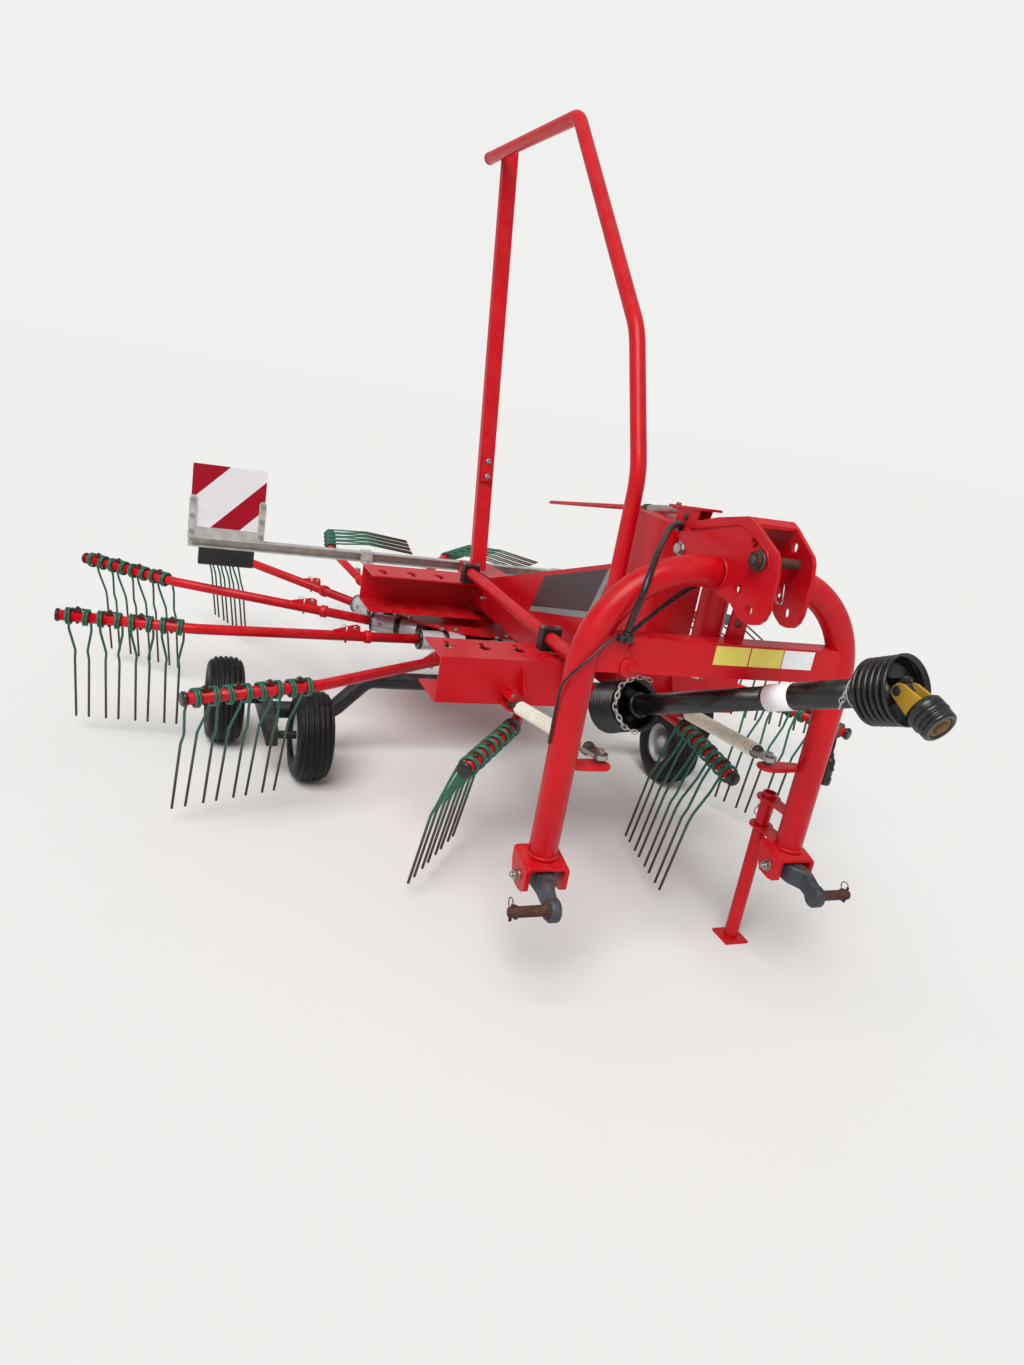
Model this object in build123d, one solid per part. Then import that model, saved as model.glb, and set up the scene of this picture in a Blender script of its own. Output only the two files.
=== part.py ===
"""Tractor-mounted rotary rake with one rotor, twelve tine arms and a swivelling headstock.

Frame: +X forward to the tractor, +Y to the machine's left, +Z up, in millimetres.
The ground is z = 0. Sizes along X are measured from the rotor's axis, and each piece is then
moved so that the origin lies under the middle of the machine's length.
"""

from build123d import *
import os
from math import atan2, degrees, radians, tan

# Middle of the machine's length, from the rotor's axis
middle_x = 413.5

# Fits
fit = 0.08  # radial running clearance at a pin or shaft
seat = 0.2  # clearance of a part laid against a curved neighbour

# Rotor
rotor_radius = 1655.0
arm_count = 12
first_arm_angle = -18.0
arm_height = 480.0
arm_tube = 38.0
arm_root_forward = 400.0
arm_root_offset = 290.0
arm_elbow_forward = 1235.0
arm_elbow_offset = 160.0
arm_elbow_radius = 160.0
arm_cap_length = 8.0
arm_cap_rim = 4.0
lock_distance = 235.0
lock_length = 110.0
lock_height = 46.0
lock_thickness = 6.0
socket_length = 190.0
socket_diameter = 72.0
socket_ring_length = 10.0
socket_depth = 100.0
socket_foot_width = 44.0
hub_plate_radius = 430.0
hub_plate_thickness = 10.0
ring_plate_radius = 407.0
ring_plate_thickness = 8.0
drum_radius = 185.0
drum_height = 110.0
column_diameter = 120.0

# Double tines
tines_per_arm = 4
tine_pitch = 104.0
tine_end_distance = 62.0
tine_wire = 9.0
tine_coil_diameter = 62.0
tine_coil_width = 27.0
tine_coil_gap = 30.0
tine_knee_spacing = 48.0
tine_upper_drop = 185.0
tine_upper_slope = 19.0
tine_lower_drop = 240.0
tine_lower_slope = 9.0
lifted_roll = 76.0
half_lifted_roll = 50.0
# Roll of each arm's tines about the arm, in the order of the arms from the first, counter-clockwise
arm_rolls = [0.0, 0.0, 0.0, half_lifted_roll, lifted_roll, lifted_roll, lifted_roll, lifted_roll] + [0.0] * 4

# Wheels
tyre_radius = 165.0
tyre_width = 130.0
tyre_shoulder = 20.0
rim_radius = 82.0
rim_well_radius = 66.0
rim_disc_thickness = 8.0
wheel_hub_radius = 32.0
stub_axle = 30.0
# name, x, y of the axle's middle of the right-hand wheels
wheel_places = [("front", 620.0, 760.0), ("rear", 280.0, 1040.0)]

# Undercarriage
axle_beam_depth = 40.0
axle_pivot_x = 400.0
axle_pivot_z = 175.0
cross_arm_size = 80.0
cross_tube = 66.0
cross_tube_bend = 70.0
cross_tube_bend_y = 520.0
cross_tube_foot_y = 650.0
cross_arm_z = arm_height - 168.0
column_foot_z = cross_arm_z - 50.0

# Swivel ahead of the rotor's circle
swivel_x = rotor_radius + 145.0

# Main beam and front post
beam_width = 120.0
beam_wall = 8.0
beam_rear_x = -70.0
beam_low_z = arm_height + 120.0
beam_rear_top_z = beam_low_z + 122.0
beam_knee_x = 335.0
beam_knee_z = beam_low_z + 145.0
post_rear_x = swivel_x - 370.0
post_front_x = swivel_x - 180.0
post_width = 140.0
post_low_z = 880.0
post_top_z = 1230.0
beam_front_top_z = 1078.0
beam_step_x = swivel_x - 650.0
beam_step_z = beam_low_z + 90.0

# Swivel pin and lugs
swivel_pin = 36.0
swivel_lug_radius = 48.0
swivel_lug_thickness = 34.0
swivel_pin_head = 58.0
swivel_pin_head_height = 16.0
swivel_tube_diameter = 76.0
swivel_gap = 0.5

# Gear housing and drive
housing_radius = 120.0
housing_low_z = arm_height + 65.0
housing_top_z = beam_low_z + 100.0
housing_front_x = 150.0
input_z = beam_low_z
input_diameter = 62.0
joint_x = swivel_x - 440.0
joint_z = beam_low_z
shaft_front_x = swivel_x + 552.0
shaft_front_y = 165.0
shaft_front_z = 1043.0
shaft_inner_tube = 62.0
shaft_outer_tube = 68.0
rear_bell = 160.0
rear_bell_length = 130.0
front_bell = 160.0
front_bell_length = 165.0
bell_rib = 7.0
bell_wall = 4.0
bell_hollow = 0.55  # hollow part of a bell's length
bell_setback = 20.0
bell_neck_length = 20.0
joint_fork = 76.0
joint_fork_reach = 36.0
knuckle = 54.0
knuckle_setback = 20.0  # of the front joint's middle behind its bell's mouth
yoke_direction = (0.92, 0.12, -0.37)
yoke_fork = 56.0
yoke_collar = 80.0
yoke_collar_start = 84.0
yoke_length = 117.0
coupling_depth = 60.0
coupling_bore = 35.0

# Arm racks
rack_outer_y = 530.0
rack_low_z = beam_low_z - 35.0
rack_top_z = beam_low_z + 111.0
rack_sheet = 6.0
rack_depth = 190.0
rear_rack_x = 130.0
front_rack_x = swivel_x - 520.0
rack_hole = 40.0
rack_hole_count = 4
side_plate = 6.0

# Guard hoop
guard_y = 135.0
guard_z = rack_top_z + 41.0
guard_tube = 45.0
guard_rear_x = 240.0
guard_front_x = swivel_x - 292.0
guard_front_top_z = 1330.0
guard_shoulder_x = swivel_x - 465.0
guard_shoulder_z = 1700.0
guard_peak_x = 640.0
guard_top_z = 2330.0
guard_leg_width = 60.0
guard_leg_thickness = 30.0
guard_leg_top_x = -150.0
guard_tube_end_x = -240.0
guard_bend = 90.0
guard_wide_bend = 220.0
clamp_size = 64.0
clamp_length = 40.0

# Headstock
arch_x = swivel_x + 85.0
arch_tube = 76.0
leg_y = 385.0
arch_top_z = 1160.0
arch_bend = 270.0
arch_start_y = 76.0
leg_low_z = 385.0
crossbeam_depth = 60.0
crossbeam_low_z = 900.0
crossbeam_top_z = 990.0
head_plate = 10.0
head_plate_y = 78.0
head_front_y = 42.0
top_pin_x = swivel_x + 222.0
top_pin_z = 1223.0
top_pin = 25.0
top_hole = 25.6
# Forward of the swivel's axis, height
head_outline = [
    (-92, 1147), (-92, 1236), (-80, 1247), (44, 1287), (150, 1311), (178, 1301), (271, 1253), (282, 1238),
    (291, 1200), (292, 1122), (284, 1099), (266, 1083), (243, 1076), (215, 1075), (184, 1087),
    (160, 1103), (100, 1112),
]
head_holes = [(190, 1258), (172, 1142), (225, 1108)]
head_cap = [(40, 1285), (150, 1311), (178, 1301)]  # line of the cap that joins the plates' tops
head_cap_sheet = 8.0
head_tie_z = 1120.0
swivel_arm_z = (930.0, 985.0)

# Lower hitch
hitch_x = swivel_x + 224.0
hitch_z = 317.0
hitch_shoulder_y = 412.5
hitch_pin = 28.0
hitch_pin_length = 102.0
clevis_plate = 12.0
clevis_gap = 52.0
clevis_rear_x = swivel_x + 44.0
clevis_front_x = swivel_x + 130.0
clevis_low_z = 292.0
hitch_arm_eye = 32.0
hitch_bolt_z = 334.0

# Hose and electric leads tied to the headstock, with the left lead's plug
hose = 17.0
hose_start_x = swivel_x - 92.0
hose_start_z = 1228.0
# x ahead of the swivel, y, z and bend radius of the hose's turns over the right arch tube
hose_turns = [
    (0.0, -150.0, 1238.0, 90.0), (100.0, -200.0, 1226.0, 90.0), (146.0, -262.0, 1160.0, 70.0),
    (138.0, -285.0, 1075.0, 90.0),
]
hose_end_y = -292.0
lead = 7.0
lead_start_y = -312.0
lead_start_z = 975.0
# x ahead of the arch's middle, y, z and bend radius of the right lead's turns round its leg
lead_turns = [(55.0, -355.0, 948.0, 25.0), (52.0, -412.0, 905.0, 25.0), (13.0, -437.0, 862.0, 30.0)]
lead_right_low_z = 700.0
lead_left_top_z = 890.0
lead_left_low_z = 690.0
lead_swerve = 50.0
lead_tail = 30.0
lead_bend = 80.0
plug = 38.0
plug_length = 95.0

# Parking stand
stand_x = swivel_x - 48.0
stand_tube = 42.0
stand_bore = 34.0
stand_fit = 0.5
stand_plate = 8.0
stand_plate_rim = 15.0
stand_top_z = 500.0
stand_foot = 80.0
stand_foot_thickness = 8.0
# Height of each plate that guides the stand, its width at the leg
stand_plates = [(388.0, 60.0), (478.0, 44.0)]

# Swivel dampers
damper_rear_x = front_rack_x + 55.0
damper_rear_y = 300.0
damper_rear_z = rack_low_z + 25.0
damper_front_x = swivel_x + 52.0
damper_front_y = 262.0
damper_front_z = 655.0
damper_body = 44.0
damper_rod = 16.0
damper_eye = 34.0
damper_pin = 14.0
damper_travel = 62.0
damper_eye_thickness = 22.0
damper_front_pin = 12.0
damper_front_hole = 19.0
damper_front_hole_shift = 2.5  # towards the middle, where the linkage's pin goes at full swivel
damper_bar_width = 42.0
damper_bar_thickness = 12.0
damper_bar_length = 60.0
damper_bar_gap = 4.0
damper_front_drop = 18.5  # from the eye's middle down to its lug
damper_lug_thickness = 9.0
damper_lug_gap = 24.0

# Height crank
crank_rear_x = swivel_x - 1145.0
crank_rear_z = 1116.0
crank_front_x = swivel_x - 438.0
crank_front_z = 1250.0
crank_end_x = swivel_x - 160.0
crank_end_z = 1284.0
crank_thin = 12.0
crank_thick = 26.0
crank_sleeve = 34.0

# Rear bar, board and lamp
bar_x = -100.0
bar_z = beam_low_z + 90.0
bar_size = 40.0
bar_sheet = 4.0
bar_right_y = -1190.0
bar_left_y = 490.0
board_size = 282.0
board_thickness = 3.0
board_low_z = bar_z + 26.0
board_upright = 28.0
board_upright_top = 146.0
board_strip = 36.0
board_outer_y = 1188.0
lamp_length = 215.0
lamp_height = 70.0
lamp_depth = 45.0

os.makedirs("parts", exist_ok=True)


def write(node, *pieces):
    """Writes one named node of one or more pieces, with the origin under the machine's middle."""
    moved = [Pos(-middle_x, 0, 0) * piece for piece in pieces]
    shape = moved[0] if len(moved) == 1 else Compound(children=moved)
    shape.label = node
    export_step(shape, f"parts/{node}.step")


def block(x, y, z):
    """A box from its low and high limits along each axis."""
    size = [high - low for low, high in (x, y, z)]
    middle = [(high + low) / 2 for low, high in (x, y, z)]
    return Pos(*middle) * Box(*size)


def rod(start, end, diameter, end_diameter=None):
    """A round bar, or a taper, between two points."""
    start, end = Vector(*start), Vector(*end)
    length = (end - start).length
    place = Plane(origin=start, z_dir=(end - start).normalized())
    if end_diameter is None:
        return place * Cylinder(diameter / 2, length, align=(Align.CENTER, Align.CENTER, Align.MIN))
    return place * Cone(
        diameter / 2, end_diameter / 2, length, align=(Align.CENTER, Align.CENTER, Align.MIN)
    )


def side_sheet(points, y_low, y_high):
    """An outline in the XZ plane, as a sheet between two values of y."""
    outline = Polyline(*[(x, 0, z) for x, z in points], close=True)
    face = make_face(outline)
    sheet = extrude(face, amount=y_high - y_low, dir=(0, 1, 0))
    return Pos(0, y_low, 0) * sheet


def bent_tube(points, radii, diameter):
    """A round tube along straight runs joined by tangent arcs."""
    path = FilletPolyline(*points, radius=radii)
    start = Plane(origin=path @ 0, z_dir=path % 0)
    return sweep(start * Circle(diameter / 2), path=path)


def mirrored(shape, side):
    """The right-hand shape, or its mirror image on the left."""
    return shape if side == "right" else mirror(shape, about=Plane.XZ)


def arm_line():
    """Root, elbow and tip of an arm whose tip lies on +X, with the outer part's angle."""
    root = Vector(arm_root_forward, arm_root_offset, 0)
    elbow = Vector(arm_elbow_forward, arm_elbow_offset, 0)
    tip = Vector(rotor_radius, 0, 0)
    return root, elbow, tip


def double_tine():
    """One spring tine on +X as the arm: two coils round the arm, their bridge and two hanging legs."""
    ring = Plane.YZ * (
        RegularPolygon(tine_coil_diameter / 2, 10)
        - RegularPolygon(arm_tube / 2 + seat, 10, major_radius=False)
    )
    coil = extrude(ring, tine_coil_width)
    wire_radius = (tine_coil_diameter - tine_wire) / 2
    knee_y = -wire_radius - tine_upper_drop * tan(radians(tine_upper_slope))
    foot_y = knee_y - tine_lower_drop * tan(radians(tine_lower_slope))
    half_gap = tine_coil_gap / 2
    leg_x = half_gap + tine_coil_width - tine_wire / 2
    tine = Pos(0, 0, wire_radius) * Box(tine_coil_gap + tine_wire, tine_wire, tine_wire)
    tine += Pos(half_gap, 0, 0) * coil
    tine += Pos(-half_gap - tine_coil_width, 0, 0) * coil
    for side in (-1, 1):
        path = Polyline(
            (side * leg_x, -wire_radius, 0),
            (side * tine_knee_spacing / 2, knee_y, -tine_upper_drop),
            (side * tine_knee_spacing / 2, foot_y, -tine_upper_drop - tine_lower_drop),
        )
        start = Plane(origin=path @ 0, z_dir=path % 0)
        tine += sweep(start * RegularPolygon(tine_wire / 2, 6), path=path, transition=Transition.RIGHT)
    return tine


def arm_tube_piece():
    """A bent arm tube with its end cap and the gusset plate of its lock, tip on +X."""
    root, elbow, tip = arm_line()
    inner = (elbow - root).normalized()
    outer = (tip - elbow).normalized()
    start = root - inner * (socket_depth - 2)
    tube = bent_tube([start, elbow, tip], [arm_elbow_radius], arm_tube)
    outline = [(0, 0), (lock_length, 0), (0, lock_height)]
    plate = extrude(
        Plane.XZ * make_face(Polyline(*outline, close=True)), lock_thickness / 2, both=True
    )
    place = Location(root + inner * lock_distance, (0, 0, degrees(atan2(inner.Y, inner.X))))
    cap = rod(tip, tip + outer * arm_cap_length, arm_tube + 2 * arm_cap_rim)
    return tube + place * plate + cap


def arm_tines(roll):
    """The double tines of one arm, rolled about it, tip on +X."""
    root, elbow, tip = arm_line()
    outer = (tip - elbow).normalized()
    turn = degrees(atan2(outer.Y, outer.X))
    tine = double_tine()
    places = [tip - outer * (tine_end_distance + index * tine_pitch) for index in range(tines_per_arm)]
    return [Location(place, (0, 0, turn)) * Rot(-roll, 0, 0) * tine for place in places]


def make_rotor():
    """Hub with its drum and plate, arm sockets and arms."""
    drum_low = arm_height - drum_height / 2
    foot_low = arm_height - socket_diameter / 2
    bore = column_diameter / 2 + fit
    plate_low = foot_low - hub_plate_thickness
    hub = Pos(0, 0, arm_height) * Cylinder(drum_radius, drum_height)
    hub += Pos(0, 0, plate_low + hub_plate_thickness / 2) * Cylinder(hub_plate_radius, hub_plate_thickness)
    ring_low = arm_height + socket_diameter / 2
    hub += Pos(0, 0, ring_low + ring_plate_thickness / 2) * Cylinder(ring_plate_radius, ring_plate_thickness)
    hub -= Pos(0, 0, arm_height) * Cylinder(bore, drum_height * 2)
    write("rotor_hub", hub)

    root, elbow, tip = arm_line()
    inner = (elbow - root).normalized()
    turn = degrees(atan2(inner.Y, inner.X))
    middle = root - inner * socket_length / 2
    socket = Rot(0, 90, 0) * Cylinder(socket_diameter / 2, socket_length)
    socket += block(
        (-socket_length / 2, socket_length / 2),
        (-socket_foot_width / 2, socket_foot_width / 2),
        (-socket_diameter / 2, 0),
    )
    bore = Cylinder(arm_tube / 2 + seat, socket_depth, align=(Align.CENTER, Align.CENTER, Align.MAX))
    socket += Pos(socket_length / 2 - socket_ring_length / 2, 0, 0) * Rot(0, 90, 0) * Cylinder(
        socket_diameter / 2 + arm_cap_rim, socket_ring_length
    )
    socket -= Pos(socket_length / 2, 0, 0) * Rot(0, 90, 0) * bore
    tube = arm_tube_piece()
    sockets = []
    tubes = []
    for index in range(arm_count):
        turned = Rot(0, 0, first_arm_angle + index * 360 / arm_count)
        place = Location(middle + Vector(0, 0, arm_height), (0, 0, turn))
        sockets.append(turned * place * socket)
        lifted = turned * Pos(0, 0, arm_height)
        tubes.append(lifted * tube)
        tines = [lifted * tine for tine in arm_tines(arm_rolls[index])]
        write(f"spring_tines_{index + 1:02d}", *tines)
    write("arm_sockets", *sockets)
    write("tine_arms", *tubes)


def tyre_profile():
    """Half section of a tyre beyond its rim, axle on Y."""
    half = tyre_width / 2
    points = [
        (rim_radius, -half + 14),
        (rim_radius + 24, -half),
        (tyre_radius - tyre_shoulder - 12, -half),
        (tyre_radius - 6, -half + tyre_shoulder),
        (tyre_radius, -half * 0.3),
        (tyre_radius, half * 0.3),
        (tyre_radius - 6, half - tyre_shoulder),
        (tyre_radius - tyre_shoulder - 12, half),
        (rim_radius + 24, half),
        (rim_radius, half - 14),
    ]
    return make_face(Polyline(*[(r, y, 0) for r, y in points], close=True))


def rim_profile(outer_side):
    """Half section of a pressed rim and hub, axle on Y, with the disc on the outer side."""
    half = tyre_width / 2 - 14
    disc = outer_side * 20.0
    r_out = rim_radius - seat
    barrel = [
        (r_out, -half),
        (r_out, half),
        (r_out - 6, half),
        (rim_well_radius, half - 14),
        (rim_well_radius, -half + 14),
        (r_out - 6, -half),
    ]
    barrel = make_face(Polyline(*[(r, y, 0) for r, y in barrel], close=True))
    plate = Pos((rim_well_radius + 4 + stub_axle / 2) / 2, disc, 0) * Rectangle(
        rim_well_radius + 4 - stub_axle / 2 - 2 * fit, rim_disc_thickness
    )
    hub_width = 70.0
    hub = Pos((wheel_hub_radius + stub_axle / 2 + fit) / 2, 0, 0) * Rectangle(
        wheel_hub_radius - stub_axle / 2 - fit, hub_width
    )
    return barrel + plate + hub


def make_wheels():
    """Four tyred wheels, two on each tandem axle beam."""
    tyre = revolve(tyre_profile(), Axis.Y)
    for side, sign in (("right", -1), ("left", 1)):
        for place, x, y in wheel_places:
            outward = -1 if place == "front" else 1
            rim = revolve(rim_profile(sign * -outward), Axis.Y)
            move = Pos(x, sign * y, tyre_radius)
            write(f"tyre_{place}_{side}", move * tyre)
            write(f"rim_{place}_{side}", move * rim)


def make_undercarriage():
    """Central column, cross arms to both sides and the tandem axle beams."""
    front_x, front_y = wheel_places[0][1:]
    rear_x, rear_y = wheel_places[1][1:]
    beam_y = (front_y + rear_y) / 2
    column = Pos(0, 0, (column_foot_z + housing_low_z) / 2) * Cylinder(
        column_diameter / 2, housing_low_z - column_foot_z
    )
    column += Pos(0, 0, column_foot_z + 20) * Cylinder(column_diameter / 2 + 25, 40)
    half = cross_arm_size / 2
    pivot_y = beam_y - axle_beam_depth / 2 - seat
    arms = block((0, axle_pivot_x), (-half, half), (cross_arm_z - half, cross_arm_z + half))
    right = [
        (axle_pivot_x, -pivot_y, axle_pivot_z),
        (axle_pivot_x, -cross_tube_foot_y, axle_pivot_z),
        (axle_pivot_x, -cross_tube_bend_y, cross_arm_z),
    ]
    left = [(x, -y, z) for x, y, z in reversed(right)]
    arms += bent_tube(right + left, [cross_tube_bend] * 4, cross_tube)
    write("undercarriage", column + arms)

    for side in ("right", "left"):
        low, high = -beam_y - axle_beam_depth / 2, -beam_y + axle_beam_depth / 2
        outline = [
            (rear_x - 40, tyre_radius - 28),
            (rear_x - 40, tyre_radius + 28),
            (axle_pivot_x - 60, axle_pivot_z + 52),
            (axle_pivot_x + 60, axle_pivot_z + 52),
            (front_x + 40, tyre_radius + 28),
            (front_x + 40, tyre_radius - 28),
        ]
        beam = side_sheet(outline, low, high)
        front_end = -front_y + tyre_width / 2 - 20
        rear_end = -rear_y - tyre_width / 2 + 20
        beam += rod((front_x, low, tyre_radius), (front_x, front_end, tyre_radius), stub_axle)
        beam += rod((rear_x, high, tyre_radius), (rear_x, rear_end, tyre_radius), stub_axle)
        write(f"axle_beam_{side}", mirrored(beam, side))


def make_beam():
    """Folded main beam, open below, with the front post, swivel lugs and side plates."""
    half = beam_width / 2
    outline = [
        (beam_rear_x, beam_low_z),
        (beam_rear_x, beam_rear_top_z),
        (beam_knee_x, beam_knee_z),
        (post_rear_x, beam_front_top_z),
        (post_rear_x, post_low_z),
        (beam_step_x, beam_step_z),
        (700, beam_low_z),
    ]
    beam = side_sheet(outline, -half, half)
    hollow = [
        (beam_rear_x + beam_wall, beam_low_z - 50),
        (beam_rear_x + beam_wall, beam_rear_top_z - beam_wall),
        (beam_knee_x, beam_knee_z - beam_wall),
        (post_rear_x - beam_wall, beam_front_top_z - 1.4 * beam_wall),
        (post_rear_x - beam_wall, beam_low_z - 50),
    ]
    beam -= side_sheet(hollow, -half + beam_wall, half - beam_wall)
    post_half = post_width / 2
    beam += block((post_rear_x, post_front_x), (-post_half, post_half), (post_low_z, post_top_z))
    for low in (post_low_z, post_top_z - swivel_lug_thickness):
        high = low + swivel_lug_thickness
        lug = block((post_front_x, swivel_x), (-swivel_lug_radius, swivel_lug_radius), (low, high))
        lug += Pos(swivel_x, 0, (low + high) / 2) * Cylinder(swivel_lug_radius, swivel_lug_thickness)
        beam += lug
    beam -= rod((swivel_x, 0, post_low_z - 10), (swivel_x, 0, post_top_z + 10), swivel_pin + 2 * fit)
    for sign in (-1, 1):
        y = sorted((sign * half, sign * (half + side_plate)))
        beam += block((rear_rack_x, front_rack_x), y, (beam_low_z + 20, rack_top_z))
    write("main_beam", beam)

    pin = rod((swivel_x, 0, post_low_z - 18), (swivel_x, 0, post_top_z), swivel_pin)
    head_top = post_top_z + swivel_pin_head_height
    pin += rod((swivel_x, 0, post_top_z), (swivel_x, 0, head_top), swivel_pin_head)
    write("swivel_pin", pin)


def make_drive():
    """Gear housing over the rotor with its input tube, and the guarded drive shaft."""
    half = beam_width / 2 - beam_wall
    housing = Pos(0, 0, (housing_low_z + beam_low_z) / 2) * Cylinder(
        housing_radius, beam_low_z - housing_low_z
    )
    housing += block((beam_rear_x + beam_wall, housing_front_x), (-half, half), (beam_low_z, housing_top_z))
    housing += rod((0, 0, input_z), (joint_x - joint_fork_reach, 0, input_z), input_diameter)

    start = Vector(joint_x, 0, joint_z)
    end = Vector(shaft_front_x, shaft_front_y, shaft_front_z)
    along = (end - start).normalized()
    length = (end - start).length

    def bell(diameter, run):
        """Ribbed bell guard along -Z from its open mouth."""
        outer, inner = diameter / 2, diameter / 2 - bell_wall
        neck = shaft_inner_tube / 2 + 6
        points = [(0, 0), (outer * 0.86, 0)]
        ribs = 5
        for index in range(ribs):
            z = (index + 0.5) * run / ribs
            points += [(outer, z - run / ribs * 0.22), (outer, z + run / ribs * 0.22)]
            points += [(outer - bell_rib, (index + 1) * run / ribs)]
        points += [(neck, run + bell_neck_length), (0, run + bell_neck_length)]
        shape = revolve(make_face(Polyline(*[(r, 0, z) for r, z in points], close=True)), Axis.Z)
        shape -= Cylinder(inner - bell_rib, run * bell_hollow, align=(Align.CENTER, Align.CENTER, Align.MIN))
        return Rot(180, 0, 0) * shape

    housing += rod(start - along * joint_fork_reach, start + along * (bell_setback - seat), joint_fork)
    write("gear_housing", housing)

    place = Plane(origin=start, z_dir=along)
    split = 0.62 * length
    rear_mouth = bell_setback + bell_neck_length + rear_bell_length
    tube_start = start + along * (rear_mouth - bell_hollow * rear_bell_length)
    tube_end = end - along * bell_hollow * front_bell_length
    middle = end - along * knuckle_setback
    shaft = rod(tube_start, start + along * split, shaft_inner_tube)
    shaft += rod(start + along * split, tube_end, shaft_outer_tube)
    shaft += place * Pos(0, 0, rear_mouth) * bell(rear_bell, rear_bell_length)
    shaft += place * Pos(0, 0, length) * bell(front_bell, front_bell_length)
    shaft += rod(tube_end, middle, yoke_fork) + Pos(*middle) * Sphere(knuckle / 2)
    write("drive_shaft", shaft)

    ahead = Vector(*yoke_direction).normalized()
    mouth = middle + ahead * yoke_length
    yoke = rod(middle + ahead * yoke_collar_start, mouth, yoke_collar)
    yoke += rod(middle, mouth, yoke_fork)
    yoke -= Pos(*middle) * Sphere(knuckle / 2 + seat)
    yoke -= rod(mouth - ahead * coupling_depth, mouth + ahead, coupling_bore)
    tip = place * Pos(0, 0, length - knuckle_setback) * Cylinder(
        yoke_fork / 2 + seat, 200, align=(Align.CENTER, Align.CENTER, Align.MAX)
    )
    yoke = (yoke - tip).solids().sort_by(SortBy.VOLUME)[-1]
    write("drive_shaft_yoke", yoke)
    shown = mouth - Vector(middle_x, 0, 0)
    print("coupling mouth", tuple(round(v, 2) for v in shown), "axis", tuple(round(v, 5) for v in ahead))


def make_racks():
    """Four channel racks that store arms, with keyhole slots in the top flange."""
    inner_y = beam_width / 2 + side_plate
    for side in ("right", "left"):
        for place, web_x, way in (("rear", rear_rack_x, 1), ("front", front_rack_x, -1)):
            x = sorted((web_x, web_x + way * rack_depth))
            web = sorted((web_x, web_x + way * rack_sheet))
            y = (-rack_outer_y, -inner_y)
            rack = block(web, y, (rack_low_z, rack_top_z))
            rack += block(x, y, (rack_top_z - rack_sheet, rack_top_z))
            rack += block(x, y, (rack_low_z, rack_low_z + rack_sheet))
            pitch = (rack_outer_y - inner_y) / rack_hole_count
            for index in range(rack_hole_count):
                hole_y = -inner_y - (index + 0.5) * pitch
                hole_x = web_x + way * rack_depth * 0.55
                hole = Pos(hole_x, hole_y, rack_top_z) * Cylinder(rack_hole / 2, 4 * rack_sheet)
                slot = Pos(hole_x + way * 28, hole_y, rack_top_z) * Box(50, rack_hole * 0.4, 4 * rack_sheet)
                rack -= hole + slot
            if place == "front":
                rack += damper_rear_lug()
            write(f"rack_{place}_{side}", mirrored(rack, side))


def damper_rear_lug():
    """Fork on the front rack's web that holds a damper's rear eye between two plates."""
    lug = None
    half_gap = damper_lug_gap / 2
    for low in (damper_rear_z - half_gap - damper_lug_thickness, damper_rear_z + half_gap):
        z = (low, low + damper_lug_thickness)
        plate = block((front_rack_x, damper_rear_x), (-damper_rear_y - 20, -damper_rear_y + 20), z)
        plate += Pos(damper_rear_x, -damper_rear_y, sum(z) / 2) * Cylinder(20, damper_lug_thickness)
        lug = plate if lug is None else lug + plate
    reach = half_gap + damper_lug_thickness
    pin = Pos(damper_rear_x, -damper_rear_y, damper_rear_z) * Cylinder(damper_pin / 2, 2 * reach)
    return lug + pin


def make_guard():
    """Hoop guard with its flat rear leg, and the clamps that hold its hinge tube."""
    points = [
        (guard_rear_x, -guard_y, guard_z),
        (guard_front_x, -guard_y, guard_z),
        (guard_front_x + 6, -guard_y, guard_front_top_z),
        (guard_shoulder_x, -guard_y, guard_shoulder_z),
        (guard_peak_x, -guard_y, guard_top_z),
        (guard_tube_end_x, -guard_y, guard_top_z - 10),
    ]
    hoop = bent_tube(points, [guard_bend, guard_wide_bend, guard_wide_bend, guard_bend], guard_tube)
    leg_low = Vector(guard_rear_x + 5, -guard_y, guard_z)
    leg_high = Vector(guard_leg_top_x, -guard_y, guard_top_z + 12)
    lean = degrees(atan2(leg_high.X - leg_low.X, leg_high.Z - leg_low.Z))
    beside = Vector(0, guard_tube / 2 + guard_leg_width / 2 - 3, 0)
    middle = (leg_low + leg_high) / 2 + beside
    leg = Location(middle) * Rot(0, lean, 0) * Box(
        guard_leg_thickness, guard_leg_width, (leg_high - leg_low).length
    )
    place = leg_low + (leg_high - leg_low) * 0.25 + beside + Vector(guard_leg_thickness / 2, 0, 0)
    catch = Location(place) * Rot(0, lean, 0) * Box(24, guard_leg_width - 10, 100)
    write("guard_hoop", hoop + leg + catch)

    clamps = []
    for x in (rear_rack_x + rack_depth - 16, front_rack_x - rack_depth + 60):
        clamp = block(
            (x - clamp_length / 2, x + clamp_length / 2),
            (-guard_y - clamp_size / 2, -guard_y + clamp_size / 2),
            (rack_top_z, guard_z + clamp_size / 2),
        )
        clamp -= rod(
            (x - clamp_length, -guard_y, guard_z), (x + clamp_length, -guard_y, guard_z), guard_tube + 2 * fit
        )
        clamps.append(clamp)
    write("guard_clamps", *clamps)


def arch_half(diameter):
    """Right bent tube of the headstock arch, from its top plate down to the lower hitch."""
    points = [
        (arch_x, -arch_start_y, arch_top_z),
        (arch_x, -leg_y, arch_top_z),
        (arch_x, -leg_y, leg_low_z),
    ]
    return bent_tube(points, [arch_bend], diameter)


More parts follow.
